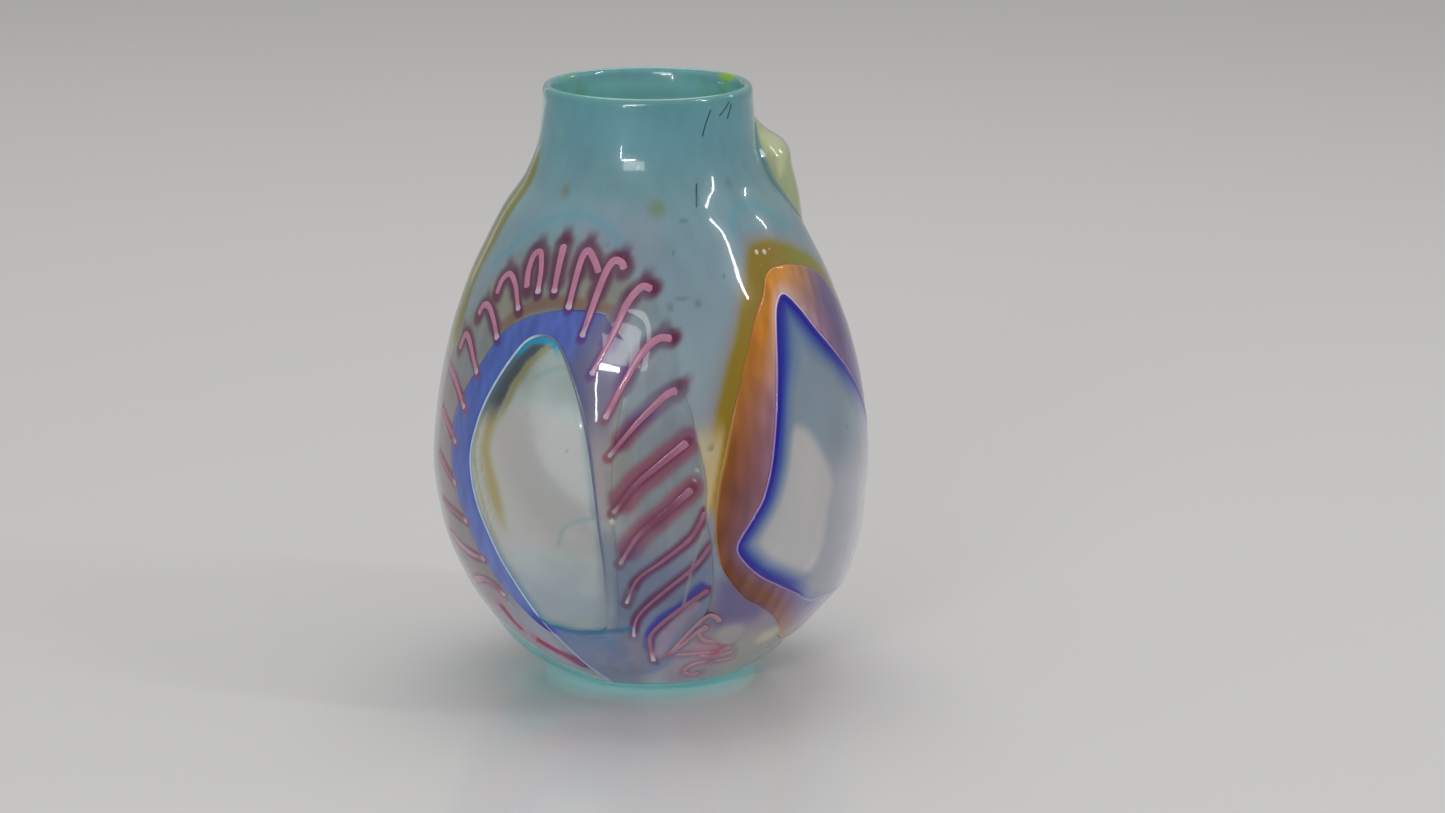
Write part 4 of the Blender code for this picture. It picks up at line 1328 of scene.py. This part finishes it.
def make_foot(clear_glass):
    """The ground foot, with a fine bevel at its flat face."""
    edge = radius_at(0.0)
    section = [(0.3, 0.0), (edge - 1.2, 0.0), (edge - 0.2, 0.35)]
    section += [(radius_at(z) - 0.05, z) for z in np.linspace(0.7, FOOT_TOP, 9)]
    section += [(radius_at(FOOT_TOP) * 0.6, FOOT_TOP), (0.3, FOOT_TOP)]
    radius, height = np.array(section).T[..., None]
    turn = np.arange(FOOT_COLUMNS) / FOOT_COLUMNS * 2 * math.pi
    points = np.stack((radius * np.sin(turn), -radius * np.cos(turn), height + 0 * turn), -1) * MM
    clear = np.full(points.shape[:2], FOOT_CLEAR)
    colour = glass_tint(np.broadcast_to((0.15, 0.45, 0.46), points.shape), clear, 0.0)
    add_piece("foot_pad", points, shell_faces(points, False), colour, clear, [clear_glass],
              "aqua_glass")


# ---------------------------------------------------------------- stage
TARGET_HEIGHT = 0.099
CAMERA_DISTANCE = 1.5
CAMERA_PITCH = 13.97
CAMERA_SHIFT = 0.0495
LENS = 101.1
SENSOR_WIDTH = 36
LIGHT_BOUNCES = 16
FLOOR_SIZE = 12
FLOOR_COLOUR = (0.64, 0.64, 0.645, 1)
ROOM_LOW = (0.30, 0.295, 0.285, 1)
ROOM_HIGH = (0.52, 0.51, 0.49, 1)
LIGHT_CENTRE = 0.11
LIGHTS = (
    # name, azimuth, elevation, distance, width, height, power
    ("window_pane", -14.5, 25.5, 1.5, 0.52, 0.24, 2.0),
    ("window_sill", -20, 19.2, 1.5, 0.34, 0.06, 2.2),
    ("window_jamb", -27.5, 12, 1.5, 0.03, 0.26, 0.72),
    ("lamp_right", 70, 40, 1.5, 0.045, 0.60, 2.6),
    ("lamp_far_right", 109, 29, 1.5, 0.04, 0.20, 0.65),
    ("overhead", 180, 68, 1.8, 1.4, 1.4, 14),
    ("rim_left", -152, 14, 1.6, 0.12, 0.9, 0.15),
)


def make_room(scene):
    """A soft world that is a little paler overhead."""
    world = bpy.data.worlds.new("soft_room")
    scene.world = world
    world.use_nodes = True
    tree = world.node_tree
    split = new_node(tree, "SeparateXYZ", Vector=new_node(tree, "TexCoord").outputs["Generated"])
    shade = new_node(tree, "ValToRGB", Fac=split.outputs["Z"])
    for element, position, colour in zip(shade.color_ramp.elements, (0.02, 0.75), (ROOM_LOW, ROOM_HIGH)):
        element.position = position
        element.color = colour
    tree.links.new(shade.outputs["Color"], tree.nodes["Background"].inputs["Color"])


def make_floor():
    """A pale table top."""
    bpy.ops.mesh.primitive_plane_add(size=FLOOR_SIZE)
    floor = bpy.context.object
    floor.name = "floor"
    pale = bpy.data.materials.new("pale_floor")
    pale.use_nodes = True
    shader = pale.node_tree.nodes["Principled BSDF"]
    shader.inputs["Base Color"].default_value = FLOOR_COLOUR
    shader.inputs["Roughness"].default_value = 0.18
    floor.data.materials.append(pale)


def make_light(scene, name, azimuth, elevation, distance, width, height, power):
    """A soft rectangular light that faces the vase."""
    light = bpy.data.lights.new(name, "AREA")
    light.shape = "RECTANGLE"
    light.size = width
    light.size_y = height
    light.energy = power
    ob = bpy.data.objects.new(name, light)
    scene.collection.objects.link(ob)
    turn = math.radians(azimuth)
    tilt = math.radians(elevation)
    level = distance * math.cos(tilt)
    ob.location = (level * math.sin(turn), -level * math.cos(turn),
                   distance * math.sin(tilt) + LIGHT_CENTRE)
    ob.rotation_euler = (math.pi / 2 - tilt, 0, turn)


def make_camera(scene):
    """The camera, at the photo's angle."""
    data = bpy.data.cameras.new("camera")
    data.lens = LENS
    data.sensor_width = SENSOR_WIDTH
    data.shift_x = CAMERA_SHIFT
    camera = bpy.data.objects.new("camera", data)
    scene.collection.objects.link(camera)
    pitch = math.radians(CAMERA_PITCH)
    camera.location = (0, -CAMERA_DISTANCE * math.cos(pitch),
                       TARGET_HEIGHT + CAMERA_DISTANCE * math.sin(pitch))
    camera.rotation_euler = (math.pi / 2 - pitch, 0, 0)
    scene.camera = camera


def make_stage():
    """The room, the table, the lights and the camera."""
    scene = bpy.context.scene
    scene.view_settings.view_transform = "Standard"
    scene.view_settings.look = "None"
    scene.cycles.max_bounces = LIGHT_BOUNCES
    scene.cycles.transmission_bounces = LIGHT_BOUNCES
    scene.cycles.transparent_max_bounces = LIGHT_BOUNCES
    make_room(scene)
    make_floor()
    for light in LIGHTS:
        make_light(scene, *light)
    make_camera(scene)


def main():
    """Builds every piece of the vase, then the stage."""
    overlay_glass = glass_material("overlay_glass", (22, 9, 0.10), coat=0.75)
    bore_glass = glass_material("bore_glass", (20, 8, 0.02), roughness=0.05)
    streaked_glass = glass_material("streaked_glass", (160, 30, 0.10), coat=0.75)
    cane_glass = glass_material("cane_glass", (240, 240, 0.10), roughness=0.35, coat=0.5)
    drop_glass = glass_material("drop_glass", (60, 60, 0.06), roughness=0.15)

    make_wall(overlay_glass, bore_glass)
    make_left_group(streaked_glass, cane_glass)
    make_right_group(streaked_glass, cane_glass)
    make_back_group(streaked_glass)
    make_drops(streaked_glass, drop_glass)
    make_neck_cords(cane_glass)
    # The foot's glass glows faintly in its own aqua tint: painted light, for the cyan glow that shows
    # round the foot.
    make_foot(glass_material("foot_glass", (60, 60, 0.06), roughness=0.2, glow=0.16))
    make_stage()


main()
